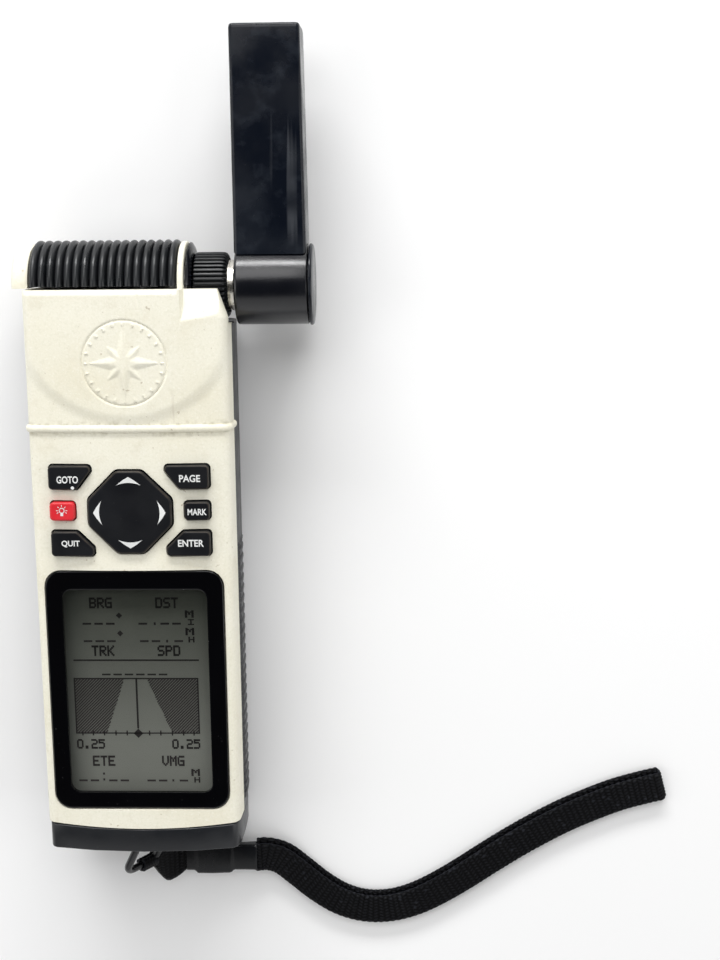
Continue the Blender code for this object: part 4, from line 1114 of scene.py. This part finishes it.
def dot_text(text, x, y, size=DOT, wide=1.0):
    """Squares that spell a text in a dot font; x, y is its lower left corner."""
    squares, across, up = [], size * wide, size * 1.14
    for letter in text:
        for row, bits in enumerate(GLYPHS[letter].split()):
            for column, bit in enumerate(bits):
                if bit == "1":
                    u, v = x + column * across, y + (6 - row) * up
                    squares.append(bar(u, u + across * 1.42, v, v + up * 1.42))
        x += 6 * across
    return squares


def dashes(x, y, count, length=2.2, gap=0.80, height=0.50):
    return [bar(x + i * (length + gap), x + i * (length + gap) + length, y, y + height) for i in range(count)]


def diamond(x, y, size):
    return [(x, y - size), (x + size, y), (x, y + size), (x - size, y)]


def hatch(low_x, high_x, low_y, high_y, left_edge, right_edge, step=0.78, width=0.42):
    """Diagonal strokes clipped to the box and to slanted edges, as small steps."""
    squares, cell = [], 0.26
    y = low_y
    while y < high_y:
        x = low_x
        while x < high_x:
            if left_edge(y) <= x <= right_edge(y) and ((x - y) % step) < width:
                squares.append(bar(x, x + cell, y, y + cell))
            x += cell
        y += cell
    return squares


def make_display():
    dark, faint = [], []
    dark += dot_text("BRG", -12.1, -13.9) + dot_text("DST", 4.75, -13.9)
    dark += dashes(-14.0, -18.2, 3) + dashes(0.3, -18.2, 1) + dashes(5.9, -18.2, 2)
    dark += [bar(4.2, 4.7, -18.3, -17.6)]
    dark += [diamond(-4.6, -15.8, 0.8)]
    faint += dashes(-13.9, -22.8, 3) + dashes(0.5, -22.8, 2) + dashes(9.3, -22.8, 1)
    faint += [bar(7.2, 7.7, -22.9, -22.2)]
    faint += [diamond(-4.5, -20.5, 0.8)]
    for y, lower in ((-16.4, "I"), (-21.0, "H")):
        dark += dot_text("M", 12.2, y, 0.23, 1.8) + dot_text(lower, 12.9, y - 1.9, 0.18, 1.6)
    dark += dot_text("TRK", -12.0, -26.5) + dot_text("SPD", 4.9, -26.5)
    dark += [bar(-16.8, 15.4, -27.8, -27.4)]
    dark += dashes(-9.6, -31.6, 6, 2.2, 0.72, 0.42)
    low, high, left, right, middle = -47.3, -32.3, -17.0, 15.1, -0.85

    def lane_left(y):
        return -9.05 + (y - low) * (5.1 / (high - low))

    def lane_right(y):
        return 7.87 - (y - low) * (6.3 / (high - low))

    dark += [bar(left, right, high - 0.36, high), bar(left, left + 0.36, low, high),
             bar(right - 0.36, right, low, high), bar(left, right, low, low + 0.32),
             bar(middle - 0.24, middle + 0.24, low + 1.4, high)]
    faint += hatch(left + 0.3, right - 0.3, low + 0.3, high - 0.3, lambda y: left, lane_left)
    faint += hatch(left + 0.3, right - 0.5, low + 0.3, high - 0.3, lane_right, lambda y: right)
    for mark in (2.9, 5.8, 8.8, 11.7, 14.4):
        for x in (middle - mark, middle + mark):
            dark += [bar(x - 0.17, x + 0.17, low - 0.5, low + 0.85)]
    dark += [diamond(middle, low + 0.1, 1.25)]
    dark += dot_text("0.25", -16.9, -51.4, 0.31) + dot_text("0.25", 7.8, -51.4, 0.31)
    faint += dot_text("ETE", -13.0, -56.1) + dot_text("VMG", 5.0, -56.1)
    faint += dashes(-16.8, -60.3, 2) + dashes(-9.0, -60.3, 2) + dashes(1.0, -60.3, 2) + dashes(9.4, -60.3, 1)
    faint += [bar(-10.5, -10.0, -60.1, -59.5), bar(-10.5, -10.0, -58.5, -57.9), bar(7.5, 8.0, -60.3, -59.7)]
    faint += dot_text("M", 12.5, -58.8, 0.23, 1.8) + dot_text("H", 13.2, -60.6, 0.18, 1.6)
    flat_shapes("lcd_dots_dark", dark, LCD_TOP, PIXEL, "case", 0.02)
    flat_shapes("lcd_dots_faint", faint, LCD_TOP - 0.004, FAINT, "case", 0.014)


make_lens()
make_display()


# ---- latch, bail and the back
def make_latch():
    stud = Form().turned([(-82.2, 0.0), (-82.2, 2.1), (-82.1, 2.5), (-81.6, 2.95), (-81.2, 3.0), (-79.0, 3.0),
                          (-78.7, 2.7), (-78.7, 1.7), (-62.6, 1.7), (-62.6, 0.0)], (0, 0, STUD_Z), "Y", 48)
    hole = Form().tube([BAIL_CENTRE - BAIL_PIN * 6, BAIL_CENTRE + BAIL_PIN * 6], BAIL_WIRE + 0.25, 24)
    mesh = carved("latch_stud_turned", stud.mesh(), [hole])
    stand_in("latch_stud_turned", mesh, NICKEL, "latch_stud", 40)
    flat = [(0.7, 0.0), (BAIL_HALF - 1.4, 0.0)] + arc(BAIL_HALF - 1.4, 1.4, 1.4, -60, 0, 6)
    flat += arc(BAIL_HALF - 3.2, BAIL_LENGTH - 3.2, 3.2, 0, 90, 12)
    half = [BAIL_CENTRE + BAIL_PIN * a + BAIL_OUT * b for a, b in flat]
    other = [BAIL_CENTRE - BAIL_PIN * a + BAIL_OUT * b for a, b in reversed(flat)]
    stand_in("latch_bail_wire", Form().tube(half + other, BAIL_WIRE, 16), VINYL, "latch_bail", 60)


def make_screws():
    for i, (x, y) in enumerate(SCREWS):
        screw = Form().turned([(0.35, 0.0), (0.35, 1.3), (0.45, 1.65), (0.75, 1.9), (1.2, 1.9), (1.2, 1.0),
                               (24.6, 1.0), (24.6, 0.0)], (x, y, 0), "Z", 40)
        slots = [block((x - a, y - b, 0), (x + a, y + b, 0.9)) for a, b in ((1.25, 0.2), (0.2, 1.25))]
        node = f"case_screw_{i + 1}"
        stand_in(node + "_cross", carved(node + "_cross", screw.mesh(), slots), TIN, node)


def make_back():
    cap = Form().turned([(0.35, 0.0), (0.35, 2.6), (0.45, 3.0), (0.7, 3.25), (1.1, 3.3), (6.2, 3.3),
                         (6.2, 0.0)], (0, PORT_Y, 0), "Z", 60)
    stand_in("port_cap_rubber", cap, MAT, "port_cap", 45)
    softened("data_port", 0.15, SATIN)
    softened("rear_label", 0.08, LABEL)
    lines = [bar(-12.5, 12.5, y, y + 0.25) for y in (-30.0, -34.0, -38.0, -42.0)]
    lines += [bar(-12.5 + i * 1.3, -12.1 + i * 1.3 + 0.3 * (i % 3), -52.0, -46.5) for i in range(19)]
    flat_shapes("rear_label_bars", lines, 0.32, CHIP, "case", 0.05)


make_latch()
make_screws()
make_back()


# ---- floor and light
def make_stage():
    form = Form()
    form.face(level(bar(-1500, 1500, -1500, 1500), FLOOR_Z))
    floor = added("floor", form.mesh("floor"))
    floor.data.materials.append(Look("floor_paper", (0.90, 0.90, 0.90), 0.85, specular=0.1).material)


def area_light(name, place, size, power, aim=(0.03, 0.0, 0.0)):
    data = bpy.data.lights.new(name, "AREA")
    data.shape = "RECTANGLE"
    data.size, data.size_y = size
    data.energy = power
    made = added(name, data)
    made.location = place
    made.rotation_euler = (Vector(aim) - Vector(place)).to_track_quat("-Z", "Y").to_euler()


def make_light():
    world = bpy.data.worlds.new("studio")
    bpy.context.scene.world = world
    world.use_nodes = True
    tree = world.node_tree
    back = tree.nodes["Background"]
    split = tree.nodes.new("ShaderNodeSeparateXYZ")
    tree.links.new(tree.nodes.new("ShaderNodeTexCoord").outputs["Generated"], split.inputs[0])
    fall = tree.nodes.new("ShaderNodeMapRange")
    for socket, number in (("From Min", 0.15), ("From Max", 0.85), ("To Min", 0.55), ("To Max", 0.04)):
        fall.inputs[socket].default_value = number
    tree.links.new(split.outputs["Z"], fall.inputs["Value"])
    back.inputs["Color"].default_value = (1.0, 1.0, 1.0, 1.0)
    tree.links.new(fall.outputs["Result"], back.inputs["Strength"])
    area_light("softbox_top", (-0.05, 0.75, 0.95), (1.1, 0.6), 6.2)
    area_light("softbox_left", (-0.85, 0.05, 0.62), (0.6, 0.9), 3.0)
    area_light("softbox_right", (0.95, -0.05, 0.62), (0.6, 0.9), 2.8)
    area_light("softbox_front", (0.05, -1.0, 0.70), (1.8, 1.1), 4.0)
    area_light("strip_far", (0.0, 1.25, 0.50), (1.2, 0.26), 18.0, aim=(0.03, 0.0, 0.02))


make_stage()
make_light()
bpy.context.scene.view_settings.view_transform = "Standard"
